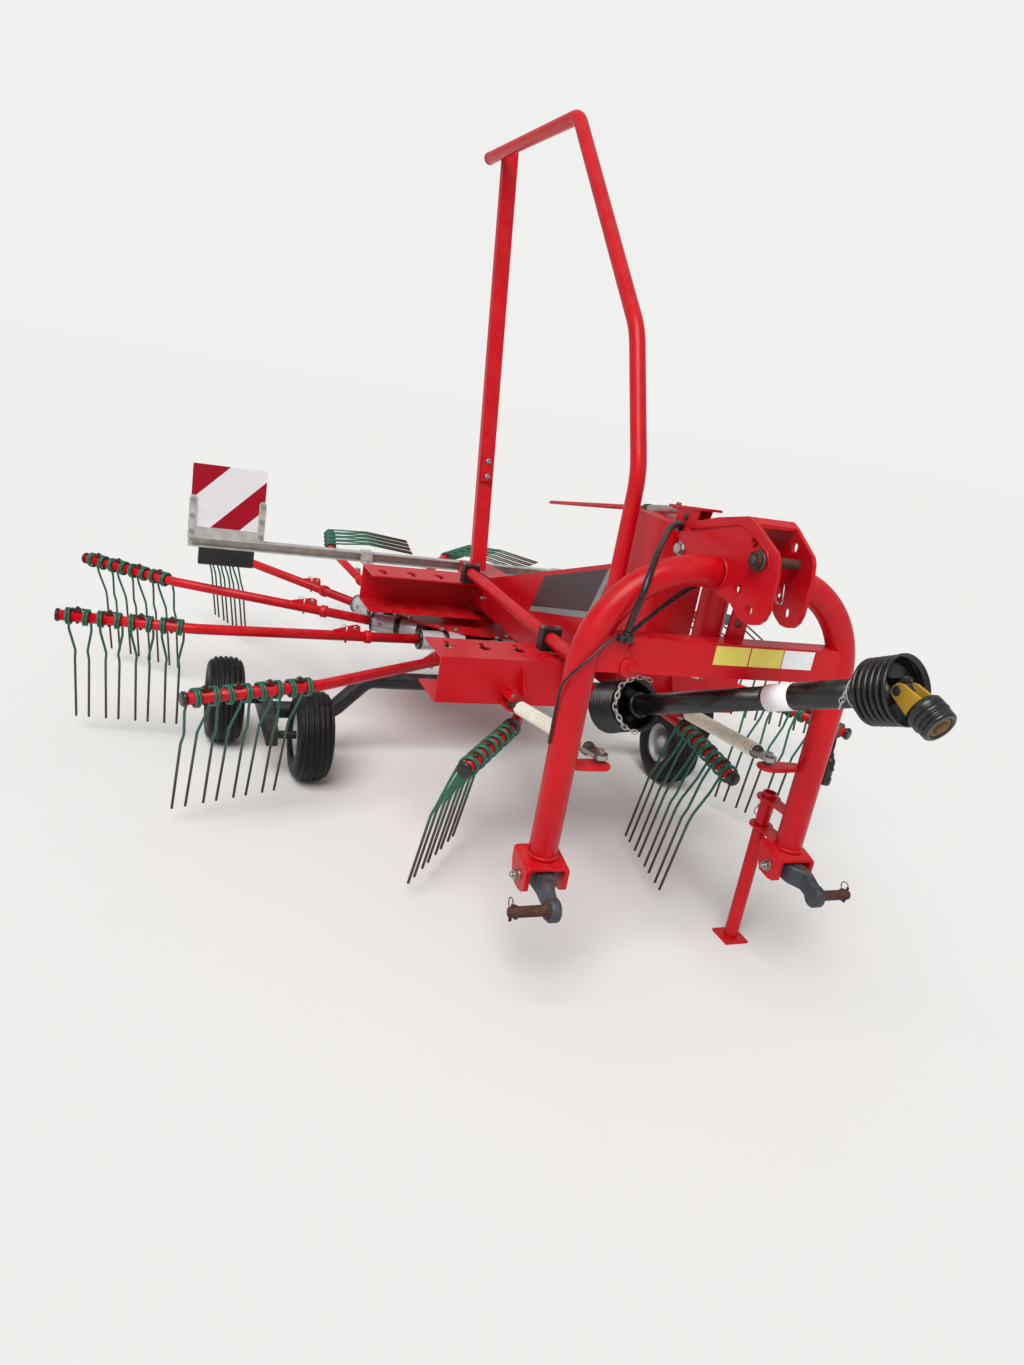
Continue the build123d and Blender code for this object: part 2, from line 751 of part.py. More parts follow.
def make_headstock():
    """Arch tubes, crossbeam, top-link head, lower hitch arms and pins, and the stand's sleeve."""
    leg = arch_half(arch_tube)
    half = crossbeam_depth / 2
    crossbeam = block((arch_x - half, arch_x + half), (-leg_y, leg_y), (crossbeam_low_z, crossbeam_top_z))
    grown = arch_half(arch_tube + 2 * seat)
    crossbeam -= grown
    crossbeam -= mirror(grown, about=Plane.XZ)
    crossbeam = crossbeam.solids().sort_by(SortBy.VOLUME)[-1]
    write("crossbeam", crossbeam)

    outline = [(swivel_x + x, z) for x, z in head_outline]
    reach = max(x for x, z in head_outline) - min(x for x, z in head_outline)
    lean = degrees(atan2(head_plate_y - head_front_y, reach))
    rear = Pos(outline[0][0], -head_plate_y - head_plate / 2, 0)
    sheet = rear * Rot(0, 0, lean) * rear.inverse() * side_sheet(
        outline, -head_plate_y - head_plate, -head_plate_y
    )
    head = sheet + mirror(sheet, about=Plane.XZ)
    cap = [(swivel_x + x, z) for x, z in head_cap]
    cap += [(x, z - head_cap_sheet) for x, z in reversed(cap)]
    head += side_sheet(cap, -head_front_y - head_plate, head_front_y + head_plate)
    tube_low = post_low_z + swivel_lug_thickness + swivel_gap
    tube_high = post_top_z - swivel_lug_thickness - swivel_gap
    head += rod((swivel_x, 0, tube_low), (swivel_x, 0, tube_high), swivel_tube_diameter)
    head += block((swivel_x + 26, swivel_x + 38), (-head_plate_y + 8, head_plate_y - 8), (head_tie_z, tube_high))
    head += block((swivel_x + 26, arch_x - half), (-40, 40), swivel_arm_z)
    head -= rod((swivel_x, 0, tube_low - 5), (swivel_x, 0, tube_high + 5), swivel_pin + 2 * fit)
    pin_reach = head_front_y + head_plate + 24
    head -= rod((top_pin_x, -pin_reach, top_pin_z), (top_pin_x, pin_reach, top_pin_z), top_pin + 2 * fit)
    for x, z in head_holes:
        head -= rod((swivel_x + x, -pin_reach, z), (swivel_x + x, pin_reach, z), top_hole)
    write("top_link_head", head)

    pin = rod((top_pin_x, -pin_reach, top_pin_z), (top_pin_x, pin_reach, top_pin_z), top_pin)
    pin += rod((top_pin_x, -pin_reach, top_pin_z), (top_pin_x, -pin_reach + 8, top_pin_z), top_pin + 16)
    write("top_link_pin", pin)

    for side in ("right", "left"):
        tube = leg
        if side == "left":
            tube += stand_guides()
        tube += damper_front_lug()
        tube += clevis()
        write(f"arch_leg_{side}", mirrored(tube, side))
        write(f"hitch_arm_{side}", mirrored(hitch_arm(), side))


def clevis():
    """Downward fork under the leg that holds the lower hitch arm."""
    half = clevis_gap / 2
    x = (clevis_rear_x, clevis_front_x)
    outer = half + clevis_plate
    fork = block(x, (-leg_y - outer, -leg_y + outer), (leg_low_z - clevis_plate, leg_low_z))
    for y in ((-leg_y - outer, -leg_y - half), (-leg_y + half, -leg_y + outer)):
        fork += block(x, y, (clevis_low_z, leg_low_z))
    return fork


def hitch_arm():
    """Cast dog-leg arm from the fork to the lower hitch pin, with the pin."""
    half = clevis_gap / 2 - seat
    low, high = -leg_y - half, -leg_y + half
    arm = side_sheet(
        [
            (clevis_rear_x + 8, hitch_bolt_z - 22),
            (clevis_rear_x + 8, hitch_bolt_z + 22),
            (clevis_front_x - 3, hitch_bolt_z + 30),
            (hitch_x + 6, hitch_z + hitch_arm_eye),
            (hitch_x, hitch_z - hitch_arm_eye),
            (clevis_front_x + 2, hitch_bolt_z - 20),
        ],
        low,
        high,
    )
    arm += rod((hitch_x, -hitch_shoulder_y, hitch_z), (hitch_x, high, hitch_z), 2 * hitch_arm_eye)
    end = -hitch_shoulder_y - hitch_pin_length
    arm += rod((hitch_x, end, hitch_z), (hitch_x, high, hitch_z), hitch_pin)
    arm -= rod((hitch_x, end + 16, hitch_z - 30), (hitch_x, end + 16, hitch_z + 30), 11)
    return arm


def damper_front_lug():
    """Flat lug behind the leg that carries a damper's front pin."""
    top = damper_front_z - damper_front_drop
    plate = block(
        (damper_front_x - 18, damper_front_x + 30), (-leg_y, -damper_front_y + 24), (top - 10, top)
    )
    pin = rod(
        (damper_front_x, -damper_front_y, top - 5),
        (damper_front_x, -damper_front_y, damper_front_z + damper_front_drop),
        damper_front_pin,
    )
    return plate + pin


def stand_guides():
    """Two plates behind the right leg, mirrored to the left one where the stand slides in them."""
    guides = []
    rim = stand_tube / 2 + stand_plate_rim
    for z, width in stand_plates:
        outline = [
            (stand_x - rim, -rim / 2),
            (stand_x - rim / 2, -rim),
            (stand_x + rim / 2, -rim),
            (arch_x, -width / 2),
            (arch_x, width / 2),
            (stand_x + rim / 2, rim),
            (stand_x - rim / 2, rim),
            (stand_x - rim, rim / 2),
        ]
        plate = extrude(make_face(Polyline(*outline, close=True)), stand_plate)
        plate -= Pos(stand_x, 0, 0) * Cylinder(stand_tube / 2 + stand_fit, 3 * stand_plate)
        guides.append(Pos(0, -leg_y, z) * plate)
    return guides


def make_leads():
    """Hose over the right arch tube, a lead round each leg, and the plug at the left one's end."""
    crossbeam_face = arch_x + crossbeam_depth / 2
    points = [(hose_start_x, -head_plate_y - head_plate - hose / 2 - seat, hose_start_z)]
    points += [(swivel_x + x, y, z) for x, y, z, radius in hose_turns]
    points += [(crossbeam_face + hose / 2 + seat, hose_end_y, crossbeam_top_z - 10)]
    write("hose", bent_tube(points, [radius for x, y, z, radius in hose_turns], hose))

    off = arch_tube / 2 + lead / 2 + seat
    gap = arch_tube / 2 + plug / 2 + seat
    right = [(crossbeam_face + lead / 2 + seat, lead_start_y, lead_start_z)]
    right += [(arch_x + x, y, z) for x, y, z, radius in lead_turns]
    right += [(arch_x, -leg_y - off, lead_right_low_z)]
    left = [
        (arch_x, -leg_y - off, lead_left_top_z),
        (arch_x, -leg_y - off, lead_left_low_z + lead_tail + lead_swerve),
        (arch_x, -leg_y - gap, lead_left_low_z + lead_tail),
        (arch_x, -leg_y - gap, lead_left_low_z),
    ]
    around = bent_tube(right, [radius for x, y, z, radius in lead_turns], lead)
    write("leads", around, mirrored(bent_tube(left, [lead_bend, lead_bend], lead), "left"))
    low = lead_left_low_z - plug_length
    write("lead_plug", rod((arch_x, leg_y + gap, low), (arch_x, leg_y + gap, lead_left_low_z), plug))


def make_stand():
    """Parking stand of round pipe, open at the top, with its foot plate."""
    upright = (Align.CENTER, Align.CENTER, Align.MIN)
    stand = Cylinder(stand_tube / 2, stand_top_z, align=upright)
    stand -= Pos(0, 0, stand_foot_thickness) * Cylinder(stand_bore / 2, stand_top_z, align=upright)
    stand += Box(stand_foot, stand_foot, stand_foot_thickness, align=upright)
    write("parking_stand", Pos(stand_x, leg_y, 0) * stand)


def make_dampers():
    """Barrel with rear eye and rod with front eye, right and left."""
    rear = Vector(damper_rear_x, -damper_rear_y, damper_rear_z)
    front = Vector(damper_front_x, -damper_front_y, damper_front_z)
    along = (front - rear).normalized()
    length = (front - rear).length
    body_start = 38.0
    body_end = length - damper_bar_length - damper_travel - damper_bar_gap
    for side in ("right", "left"):
        eye_end = rear + along * body_start
        barrel = Pos(*rear) * Cylinder(damper_eye / 2, damper_eye_thickness)
        barrel += rod(rear, eye_end + along * 4, damper_rod)
        barrel -= Pos(*rear) * Cylinder(damper_pin / 2 + fit, damper_eye_thickness * 2)
        barrel += rod(eye_end, rear + along * body_end, damper_body)
        barrel -= rod(rear + along * (body_start + 20), rear + along * (body_end + 1), damper_rod + 2 * fit)
        write(f"damper_barrel_{side}", mirrored(barrel, side))
        bar_end = front - along * damper_bar_length
        bar_place = Plane(origin=bar_end, x_dir=(along.Y, -along.X, 0), z_dir=along)
        bar = extrude(bar_place * Rectangle(damper_bar_width, damper_bar_thickness), damper_bar_length)
        shaft = bar + Pos(*front) * Cylinder(damper_bar_width / 2, damper_bar_thickness)
        shaft += rod(rear + along * (body_start + 20 + damper_travel + 4), bar_end + along, damper_rod)
        hole = Pos(0, damper_front_hole_shift, 0) * Pos(*front)
        shaft -= hole * Cylinder(damper_front_hole / 2, damper_bar_thickness * 3)
        write(f"damper_rod_{side}", mirrored(shaft, side))
    print("damper length", round(length, 2), "direction", tuple(round(v, 5) for v in along))


def make_crank():
    """Tapered height spindle handle that points back from its sleeve on the post."""
    tip = (crank_rear_x, 0, crank_rear_z)
    collar = (crank_front_x, 0, crank_front_z)
    end = (crank_end_x, 0, crank_end_z)
    crank = rod(tip, collar, crank_thin, crank_thick) + rod(collar, end, crank_sleeve)
    crank += block((post_front_x - 90, post_front_x - 50), (-14, 14), (post_top_z, crank_end_z))
    write("height_crank", crank)


def make_rear_bar():
    """Galvanised rear channel with its arms, warning board and tail lamp."""
    half = bar_size / 2
    x = (bar_x - half, bar_x + half)
    z = (bar_z - half, bar_z + half)
    bar = block(x, (bar_right_y, bar_left_y), z)
    bar -= block((bar_x - half + bar_sheet, bar_x + half + 5), (bar_right_y - 5, bar_left_y + 5),
                 (bar_z - half + bar_sheet, bar_z + half - bar_sheet))
    for y in (-470, 430):
        bar += block((bar_x + half - bar_sheet, rear_rack_x - seat), (y - 20, y + 20), (bar_z - half, bar_z - half + 8))
    outer, inner = -board_outer_y, -board_outer_y + board_size
    sheet_x = (bar_x + half - 2, bar_x + half + 3)
    bar += block(sheet_x, (outer - 6, inner + 6), (bar_z + half - 4, board_low_z + board_strip))
    for y in (outer - 6, inner + 6 - board_upright):
        upright = block(sheet_x, (y, y + board_upright), (board_low_z, board_low_z + board_upright_top))
        round_x, round_y = (sheet_x[0] + sheet_x[1]) / 2, y + board_upright / 2
        upright += Pos(round_x, round_y, board_low_z + board_upright_top) * Rot(0, 90, 0) * Cylinder(
            board_upright / 2, sheet_x[1] - sheet_x[0]
        )
        bar += upright
    write("rear_bar", bar)
    board_x = bar_x + half - 2 - seat - board_thickness
    board = block((board_x, board_x + board_thickness), (outer, inner), (board_low_z, board_low_z + board_size))
    write("warning_board", board)
    lamp_top = bar_z - half
    lamp_y = (outer + 40, outer + 40 + lamp_length)
    lamp = block((bar_x - lamp_depth / 2, bar_x + lamp_depth / 2), lamp_y, (lamp_top - lamp_height, lamp_top))
    write("tail_lamp", lamp)


make_rotor()
make_wheels()
make_undercarriage()
make_beam()
make_drive()
make_racks()
make_guard()
make_headstock()
make_leads()
make_stand()
make_dampers()
make_crank()
make_rear_bar()
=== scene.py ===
"""Looks of the tractor-mounted rotary rake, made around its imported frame.

Lengths are in metres, apart from those in mm(). Places along X are measured from the rotor's axis,
and make() moves each mesh so that the origin lies under the middle of the machine.
"""

import math

import bmesh
import bpy
import numpy as np
from mathutils import Matrix


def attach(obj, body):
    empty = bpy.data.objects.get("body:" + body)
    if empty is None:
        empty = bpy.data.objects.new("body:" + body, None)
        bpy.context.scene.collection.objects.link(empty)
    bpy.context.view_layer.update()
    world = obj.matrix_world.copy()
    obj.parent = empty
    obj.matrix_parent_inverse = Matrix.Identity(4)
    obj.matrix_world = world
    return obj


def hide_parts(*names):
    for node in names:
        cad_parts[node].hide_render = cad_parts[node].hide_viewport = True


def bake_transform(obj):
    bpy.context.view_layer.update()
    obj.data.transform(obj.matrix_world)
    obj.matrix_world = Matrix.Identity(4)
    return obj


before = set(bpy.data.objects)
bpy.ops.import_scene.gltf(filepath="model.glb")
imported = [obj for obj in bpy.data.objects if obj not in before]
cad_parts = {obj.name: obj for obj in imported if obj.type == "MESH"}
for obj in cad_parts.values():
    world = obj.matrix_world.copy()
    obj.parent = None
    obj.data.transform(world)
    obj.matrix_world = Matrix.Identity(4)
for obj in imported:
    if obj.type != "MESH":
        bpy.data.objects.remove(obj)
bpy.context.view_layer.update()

bl_info = {
    "name": "Rotary rake",
    "version": (1, 0, 0),
    "blender": (4, 5, 0),
    "location": "View3D > Sidebar > Rake",
    "description": "Makes the visible pieces of a mounted rotary rake around its CAD frame",
    "category": "Add Mesh",
}

MIDDLE = np.array([0.4135, 0.0, 0.0])
X, Y, Z = np.eye(3)

# Rotor
ARM_COUNT = 12
FIRST_ARM = math.radians(-18)
ARM_HEIGHT = 0.480
ARM_TUBE = 0.038
ROOT = np.array([0.400, 0.290, 0.0])
ELBOW = np.array([1.235, 0.160, 0.0])
TIP = np.array([1.655, 0.0, 0.0])
ELBOW_RADIUS = 0.160
SOCKET_LENGTH = 0.190
LOCK_DISTANCE = 0.235
TINE_END, TINE_PITCH = 0.062, 0.104
ROLLS = np.radians([0, 0, 0, 50, 76, 76, 76, 76, 0, 0, 0, 0])
# Wheels: name, x, y, how far outwards the rim's disc stands
WHEELS = [("front", 0.620, 0.760, 0.020), ("rear", 0.280, 1.040, -0.020)]
WHEEL_RADIUS = 0.165
# Drive shaft
JOINT = np.array([1.360, 0.0, 0.600])
SHAFT_END = np.array([2.352, 0.165, 1.043])
YOKE_AHEAD = np.array([0.92, 0.12, -0.37])
# Dampers, right-hand side
DAMPER_REAR = np.array([1.335, -0.300, 0.590])
DAMPER_FRONT = np.array([1.852, -0.262, 0.655])
# Arch legs, parking stand and the eyes of the hitch arms
LEG_X, LEG_Y = 1.885, 0.385
STAND_X = 1.752
HITCH_EYE = np.array([2.024, 0.0, 0.317])
SIDES = (("right", 1), ("left", -1))


def mm(*rows):
    """Rows of numbers in millimetres, as an array in metres."""
    return np.array(rows) / 1000


def linear(red, green, blue):
    """A colour read from a picture, 0 to 255, as linear light: ((c + 0.055) / 1.055) to the power 2.4."""
    levels = (np.array([red, green, blue]) / 255 + 0.055) / 1.055
    return tuple(levels**2.4)


def unit(vector):
    """The vector divided by its own length."""
    vector = np.asarray(vector, float)
    return vector / np.linalg.norm(vector, axis=-1, keepdims=True)


class Form:
    """Surfaces gathered into one mesh, with each face's finish and each point's run from 0 to 1."""

    def __init__(self):
        self.points, self.faces, self.finish, self.smooth, self.run = [], [], [], [], []
        self.count = 0

    def skin(self, points, finish=0, smooth=True, run=None, ends=True):
        """Joins rows of points, each a closed outline, by faces with four corners, and covers the
        first and last row with a flat face; run holds one value for each row."""
        rows, columns = points.shape[:2]
        column = np.arange(columns)
        beside = (column + 1) % columns
        row = self.count + columns * np.arange(rows - 1)[:, None]
        corners = [row + column, row + beside, row + columns + beside, row + columns + column]
        faces = np.stack(corners, -1).reshape(-1, 4).tolist()
        lids = [self.count, self.count + (rows - 1) * columns] if ends else []
        self.faces += faces + [list(range(first, first + columns)) for first in lids]
        self.finish += [finish] * (len(faces) + len(lids))
        self.smooth += [smooth] * len(faces) + [False] * len(lids)
        self.points.append(points.reshape(-1, 3))
        self.run.append(np.repeat(np.zeros(rows) if run is None else run, columns))
        self.count += rows * columns

    def join(self, other, move):
        """Adds another form with its points moved by a function."""
        self.points.append(move(np.concatenate(other.points)))
        self.faces += [[corner + self.count for corner in face] for face in other.faces]
        self.finish += other.finish
        self.smooth += other.smooth
        self.run += other.run
        self.count += other.count


def circle(radius, sides):
    """Closed outline of points at radius times (cosine, sine) of equal steps of angle."""
    angle = np.linspace(0, 2 * np.pi, sides, endpoint=False)
    return radius * np.stack([np.cos(angle), np.sin(angle)], 1)


def carry(form, outline, path, up, finish=0, scale=1.0, run=None, side=None):
    """An outline carried along a path: point + side * outline x + rise * outline y, times a scale.

    Side is the path's direction crossed with up, and rise is side crossed with the direction."""
    path = np.asarray(path, float)
    ahead = unit(np.gradient(path, axis=0))
    side = unit(np.cross(ahead, up)) if side is None else side
    rise = np.cross(side, ahead)
    across = outline[:, :1] * side[:, None] + outline[:, 1:] * rise[:, None]
    form.skin(path[:, None] + scale * across, finish, True, run)


def turn(form, profile, base, axis, sides=32, finish=0, smooth=True):
    """A profile of (radius, height) turned about an axis: base + height * axis + radius * ring."""
    profile, axis = np.asarray(profile, float), unit(axis)
    first = unit(np.cross(axis, Z if abs(axis[2]) < 0.9 else X))
    ring = circle(1.0, sides)
    ring = ring[:, :1] * first + ring[:, 1:] * np.cross(axis, first)
    points = np.asarray(base) + profile[:, None, 1:] * axis + profile[:, None, :1] * ring
    form.skin(points, finish, smooth, ends=False)


def pipe(form, inner, outer, low, high, base, axis, sides=20, finish=0, smooth=True, closed=False):
    """A tube between two heights along an axis, or a rod where inner is 0."""
    profile = [(inner, low), (outer, low), (outer, high), (inner, high)]
    turn(form, profile + profile[:1] if closed else profile, base, axis, sides, finish, smooth)


def slab(form, outline, low, high, finish=0, across=Y):
    """A flat outline thickened along an axis: u * first + v * second + w * across, where first and
    second are the two other axes in the order X, Y, Z."""
    first, second = (Y if across is X else X), (Y if across is Z else Z)
    flat = np.asarray(outline, float)
    flat = flat[:, :1] * first + flat[:, 1:] * second
    form.skin(np.stack([flat + low * across, flat + high * across]), finish, False)


def bent(corners, radii, step=0.012):
    """A path of straight runs joined by arcs that touch them; each arc has its own radius.

    An arc's points are centre + radius * (cos(t) * first + sin(t) * second)."""
    corners = [np.asarray(corner, float) for corner in corners]
    path = [corners[0][None]]
    for before, corner, after, radius in zip(corners, corners[1:], corners[2:], radii):
        back, ahead = unit(before - corner), unit(after - corner)
        half = np.arccos(np.clip(back @ ahead, -1, 1)) / 2
        centre = corner + unit(back + ahead) * radius / np.sin(half)
        start = corner + back * radius / np.tan(half)
        first = unit(start - centre)
        second = unit(-back - (-back @ first) * first)
        swing = np.pi - 2 * half
        angle = np.linspace(0, swing, max(3, int(swing * radius / step) + 1))[:, None]
        path.append(centre + radius * (np.cos(angle) * first + np.sin(angle) * second))
    path.append(corners[-1][None])
    return np.concatenate(path)


def smooth(points):
    """A cubic B-spline over chosen points, through the first and last: in each span the weights are
    (1 - t)^3, 3 t^3 - 6 t^2 + 4, 3 (1 - t)^3 - 6 (1 - t)^2 + 4 and t^3, each over 6."""
    points = np.asarray(points, float)
    points = np.concatenate([[2 * points[0] - points[1]], points, [2 * points[-1] - points[-2]]])
    steps = 10
    t = np.linspace(0, 1, steps, endpoint=False)
    back = 1 - t
    weights = np.stack([back**3, 3 * t**3 - 6 * t**2 + 4, 3 * back**3 - 6 * back**2 + 4, t**3]) / 6
    spans = np.stack([points[first:len(points) - 3 + first] for first in range(4)])
    line = np.einsum("kt,ksd->std", weights, spans).reshape(-1, 3)
    return np.concatenate([line, [points[-2]]])


def loft(form, outline, stations):
    """A skin over sections that stand across X: centre + (0, half width * u, half height * v).

    Each station is its centre's x, y and z, half its width and half its height."""
    stations = np.asarray(stations, float)
    spread = stations[:, None, 3:] * outline[None]
    points = np.concatenate([np.zeros(spread.shape[:2] + (1,)), spread], 2) + stations[:, None, :3]
    form.skin(points, 0, False)


def bolt(form, place, axis, size, finish=0, stem=0.0):
    """A hexagonal head with a chamfered top on its washer, and the thread's end as far as stem."""
    low, high = size * 0.16, size * 0.85
    pipe(form, 0, size * 1.05, 0, low, place, axis, 20, finish, False)
    head = [(size * 0.92, low), (size * 0.92, high - size * 0.1), (size * 0.78, high), (0, high)]
    turn(form, head, place, axis, 6, finish, False)
    if stem:
        end = high + stem
        thread = [(size * 0.5, high), (size * 0.5, end - 0.001), (size * 0.42, end), (0, end)]
        turn(form, thread, place, axis, 12, finish, False)


def weld(form, path, up, size):
    """A weld bead along a path: an eight-sided outline whose size ripples as 1 + 0.12 * sine."""
    path = np.asarray(path, float)
    length = np.linalg.norm(np.diff(path, axis=0), axis=1).sum()
    step, ripple = 0.004, 0.006
    share = np.linspace(0, 1, max(6, int(length / step)))
    stops = np.linspace(0, 1, len(path))
    line = np.stack([np.interp(share, stops, path[:, part]) for part in range(3)], 1)
    scale = 1 + 0.12 * np.sin(share * length / ripple * 2 * np.pi)
    carry(form, circle(size / 2, 8), line, up, scale=scale[:, None, None])


def wire_ring(form, centre, first, second, radius, wire, finish=0, sides=6, stops=24):
    """A ring of wire: centre + radius * (cos(t) * first + sin(t) * second)."""
    first, second = unit(first), unit(second)
    angle = np.linspace(0, 2 * np.pi, stops)[:, None]
    path = np.asarray(centre) + radius * (np.cos(angle) * first + np.sin(angle) * second)
    carry(form, circle(wire / 2, sides), path, np.cross(first, second), finish)


def locking_pin(form, spot, axis, ends, radius, shift, plane, ring, wire, finish=0, sides=10):
    """A pin with a faintly domed end, and a ring of wire that stands in a plane and is shifted from it."""
    low, high = ends
    profile = [(0, low), (radius, low), (radius, high - 0.001), (0, high)]
    turn(form, profile, spot, axis, sides, finish)
    wire_ring(form, spot + shift, *plane, ring, wire, finish)


def show(name, data, axes=None, spot=(0, 0, 0)):
    """A new object of the scene, with its own axes along the given ones and at a spot."""
    shown = bpy.data.objects.new(name, data)
    bpy.context.scene.collection.objects.link(shown)
    if axes is not None:
        shown.matrix_world = Matrix.Translation(spot) @ Matrix(np.stack(axes, 1).tolist()).to_4x4()
    return shown


def make(name, body, form, finishes, replaces=(), bevel=0.0, bend=None):
    """Puts a form into one object that rides on a body, with outward faces and its finishes.

    With bend, its placement is baked into its mesh instead, and it rides on no body."""
    mesh = bpy.data.meshes.new(name)
    mesh.from_pydata((np.concatenate(form.points) - MIDDLE).tolist(), [], form.faces)
    mesh.polygons.foreach_set("material_index", form.finish)
    mesh.polygons.foreach_set("use_smooth", form.smooth)
    mesh.attributes.new("run", "FLOAT", "POINT").data.foreach_set("value", np.concatenate(form.run))
    for finish in finishes:
        mesh.materials.append(coat(finish))
    shape = bmesh.new()
    shape.from_mesh(mesh)
    bmesh.ops.remove_doubles(shape, verts=shape.verts, dist=2e-6)
    bmesh.ops.recalc_face_normals(shape, faces=shape.faces)
    shape.to_mesh(mesh)
    shape.free()
    piece = show(name, mesh)
    if bevel:
        edge = piece.modifiers.new("edges", "BEVEL")
        edge.width, edge.segments, edge.limit_method = bevel, 2, "ANGLE"
        edge.angle_limit = math.radians(50)
    if bend:
        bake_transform(piece)
    else:
        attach(piece, body)
    if replaces:
        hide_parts(*replaces)


# Finishes: base colour, roughness, metallic, how much the colour varies, fineness of that noise,
# how much dust lies on upward faces, bump in millimetres, fineness of the bump, specular level
FINISHES = {
    "red_paint": ("red", 0.31, 0, 0.14, 7, 0.06, 0.1, 160, 0.26),
    "black_steel": ("black", 0.36, 0, 0.25, 9, 0.07, 0.12, 180, 0.4),
    "dark_cast": ("cast", 0.46, 0.35, 0.25, 14, 0.2, 0.45, 140, 0.35),
    "galvanised": ("zinc", 0.46, 0.45, 0.24, 26, 0.1, 0.12, 200, 0.3),
    "dark_steel": ("iron", 0.42, 0.6, 0.2, 30, 0.08, 0.1, 240, 0.25),
    "bright_steel": ("steel", 0.3, 0.95, 0.12, 30, 0.05, 0.05, 300, 0.5),
    "aluminium": ("aluminium", 0.36, 0.45, 0.2, 16, 0.05, 0.35, 220, 0.5),
    "rusty_steel": ("rust", 0.62, 0.1, 0.45, 40, 0.1, 0.3, 260, 0.12),
    "clamp_red": ("clamp", 0.5, 0, 0.35, 40, 0.1, 0.2, 220, 0.12),
    "brass": ("brass", 0.45, 0.6, 0.3, 40, 0.1, 0.2, 220, 0.3),
    "tyre_rubber": ("rubber", 0.5, 0, 0.3, 12, 0.035, 0.3, 240, 0.3),
    "rim_paint": ("rim", 0.4, 0.15, 0.12, 10, 0.18, 0.1, 200, 0.3),
    "guard_plastic": ("plastic", 0.27, 0, 0.2, 11, 0.06, 0.1, 320, 0.6),
    "hose_rubber": ("hose", 0.26, 0, 0.2, 20, 0.04, 0.1, 320, 0.5),
    "yoke_yellow": ("yellow", 0.45, 0, 0.22, 22, 0.1, 0.3, 180, 0.2),
    "spring_cream": ("cream", 0.38, 0, 0.16, 30, 0.04, 0.08, 220, 0.25),
    "decal_dark": ("decal", 0.33, 0, 0.06, 6, 0.06, 0, 100, 0.25),
    "decal_light": ("stripe", 0.33, 0, 0.06, 6, 0.06, 0, 100, 0.25),
    "label_yellow": ("label", 0.35, 0, 0.08, 12, 0.04, 0, 100, 0.2),
    "label_white": ("white", 0.45, 0, 0.06, 12, 0, 0, 100, 0.2),
    "board_red": ("crimson", 0.28, 0, 0.1, 8, 0.05, 0.05, 200, 0.2),
    "lamp_red": ("lens", 0.12, 0, 0.08, 10, 0.05, 0, 100, 0.5),
    "lamp_amber": ("amber", 0.12, 0, 0.08, 10, 0.05, 0, 100, 0.5),
}


class RakeColours(bpy.types.PropertyGroup):
    """Colours of the finishes, in linear light."""

    def colour(name, description, *levels):
        """A colour property whose default is given as picture levels from 0 to 255."""
        return bpy.props.FloatVectorProperty(
            name=name, description=description, subtype="COLOR", size=3, min=0, max=1,
            default=linear(*levels),
        )

    red: colour("Red paint", "Paint of the frame, headstock, arms and guard", 198, 7, 25)
    black: colour("Black paint", "Paint of the undercarriage and clamps", 24, 25, 30)
    cast: colour("Cast arms", "Lower hitch arms", 66, 71, 80)
    zinc: colour("Galvanised steel", "Rear bar and crank", 206, 204, 198)
    steel: colour("Bright steel", "Bolts, pins and washers", 172, 170, 166)
    iron: colour("Dark steel", "Chain and joint of the drive shaft", 84, 80, 76)
    aluminium: colour("Cast aluminium", "Sockets of the tine arms", 205, 206, 208)
    rust: colour("Rusty steel", "Hitch pins", 84, 54, 48)
    clamp: colour("Clamp red", "Weathered clamps of the tines", 96, 26, 28)
    brass: colour("Brass", "Inner ring of the shaft's coupling", 128, 98, 62)
    rubber: colour("Rubber", "Tyres", 11, 11, 13)
    rim: colour("Rim paint", "Wheel rims", 176, 178, 180)
    plastic: colour("Guard plastic", "Drive shaft guard and arm caps", 17, 17, 20)
    hose: colour("Hose", "Hose and electric leads", 34, 24, 29)
    yellow: colour("Yoke yellow", "Front yoke of the drive shaft", 190, 148, 48)
    cream: colour("Cream enamel", "Springs of the dampers", 240, 237, 220)
    decal: colour("Dark panel", "Plain panel on the main beam", 70, 58, 62)
    stripe: colour("Panel stripe", "Light stripe of the beam's panel", 140, 143, 144)
    label: colour("Yellow plate", "Blank yellow plates", 234, 216, 104)
    white: colour("White plate", "Blank white plates and bands", 242, 242, 244)
    crimson: colour("Board red", "Red bands of the warning board", 168, 4, 34)
    lens: colour("Lamp red", "Red part of the tail lamp", 150, 14, 18)
    amber: colour("Lamp amber", "Amber part of the tail lamp", 206, 98, 20)
    tine_top: colour("Tine green", "Tines near the arm", 34, 102, 80)
    tine_low: colour("Tine brown", "Worn lower ends of the tines", 74, 52, 40)
    dust: colour("Dust", "Dust and dry soil", 170, 150, 128)
    floor: colour("Floor", "Pale floor under the machine", 232, 231, 228)
    backdrop: colour("Backdrop", "Surroundings, as bright as the far floor", 240, 240, 238)


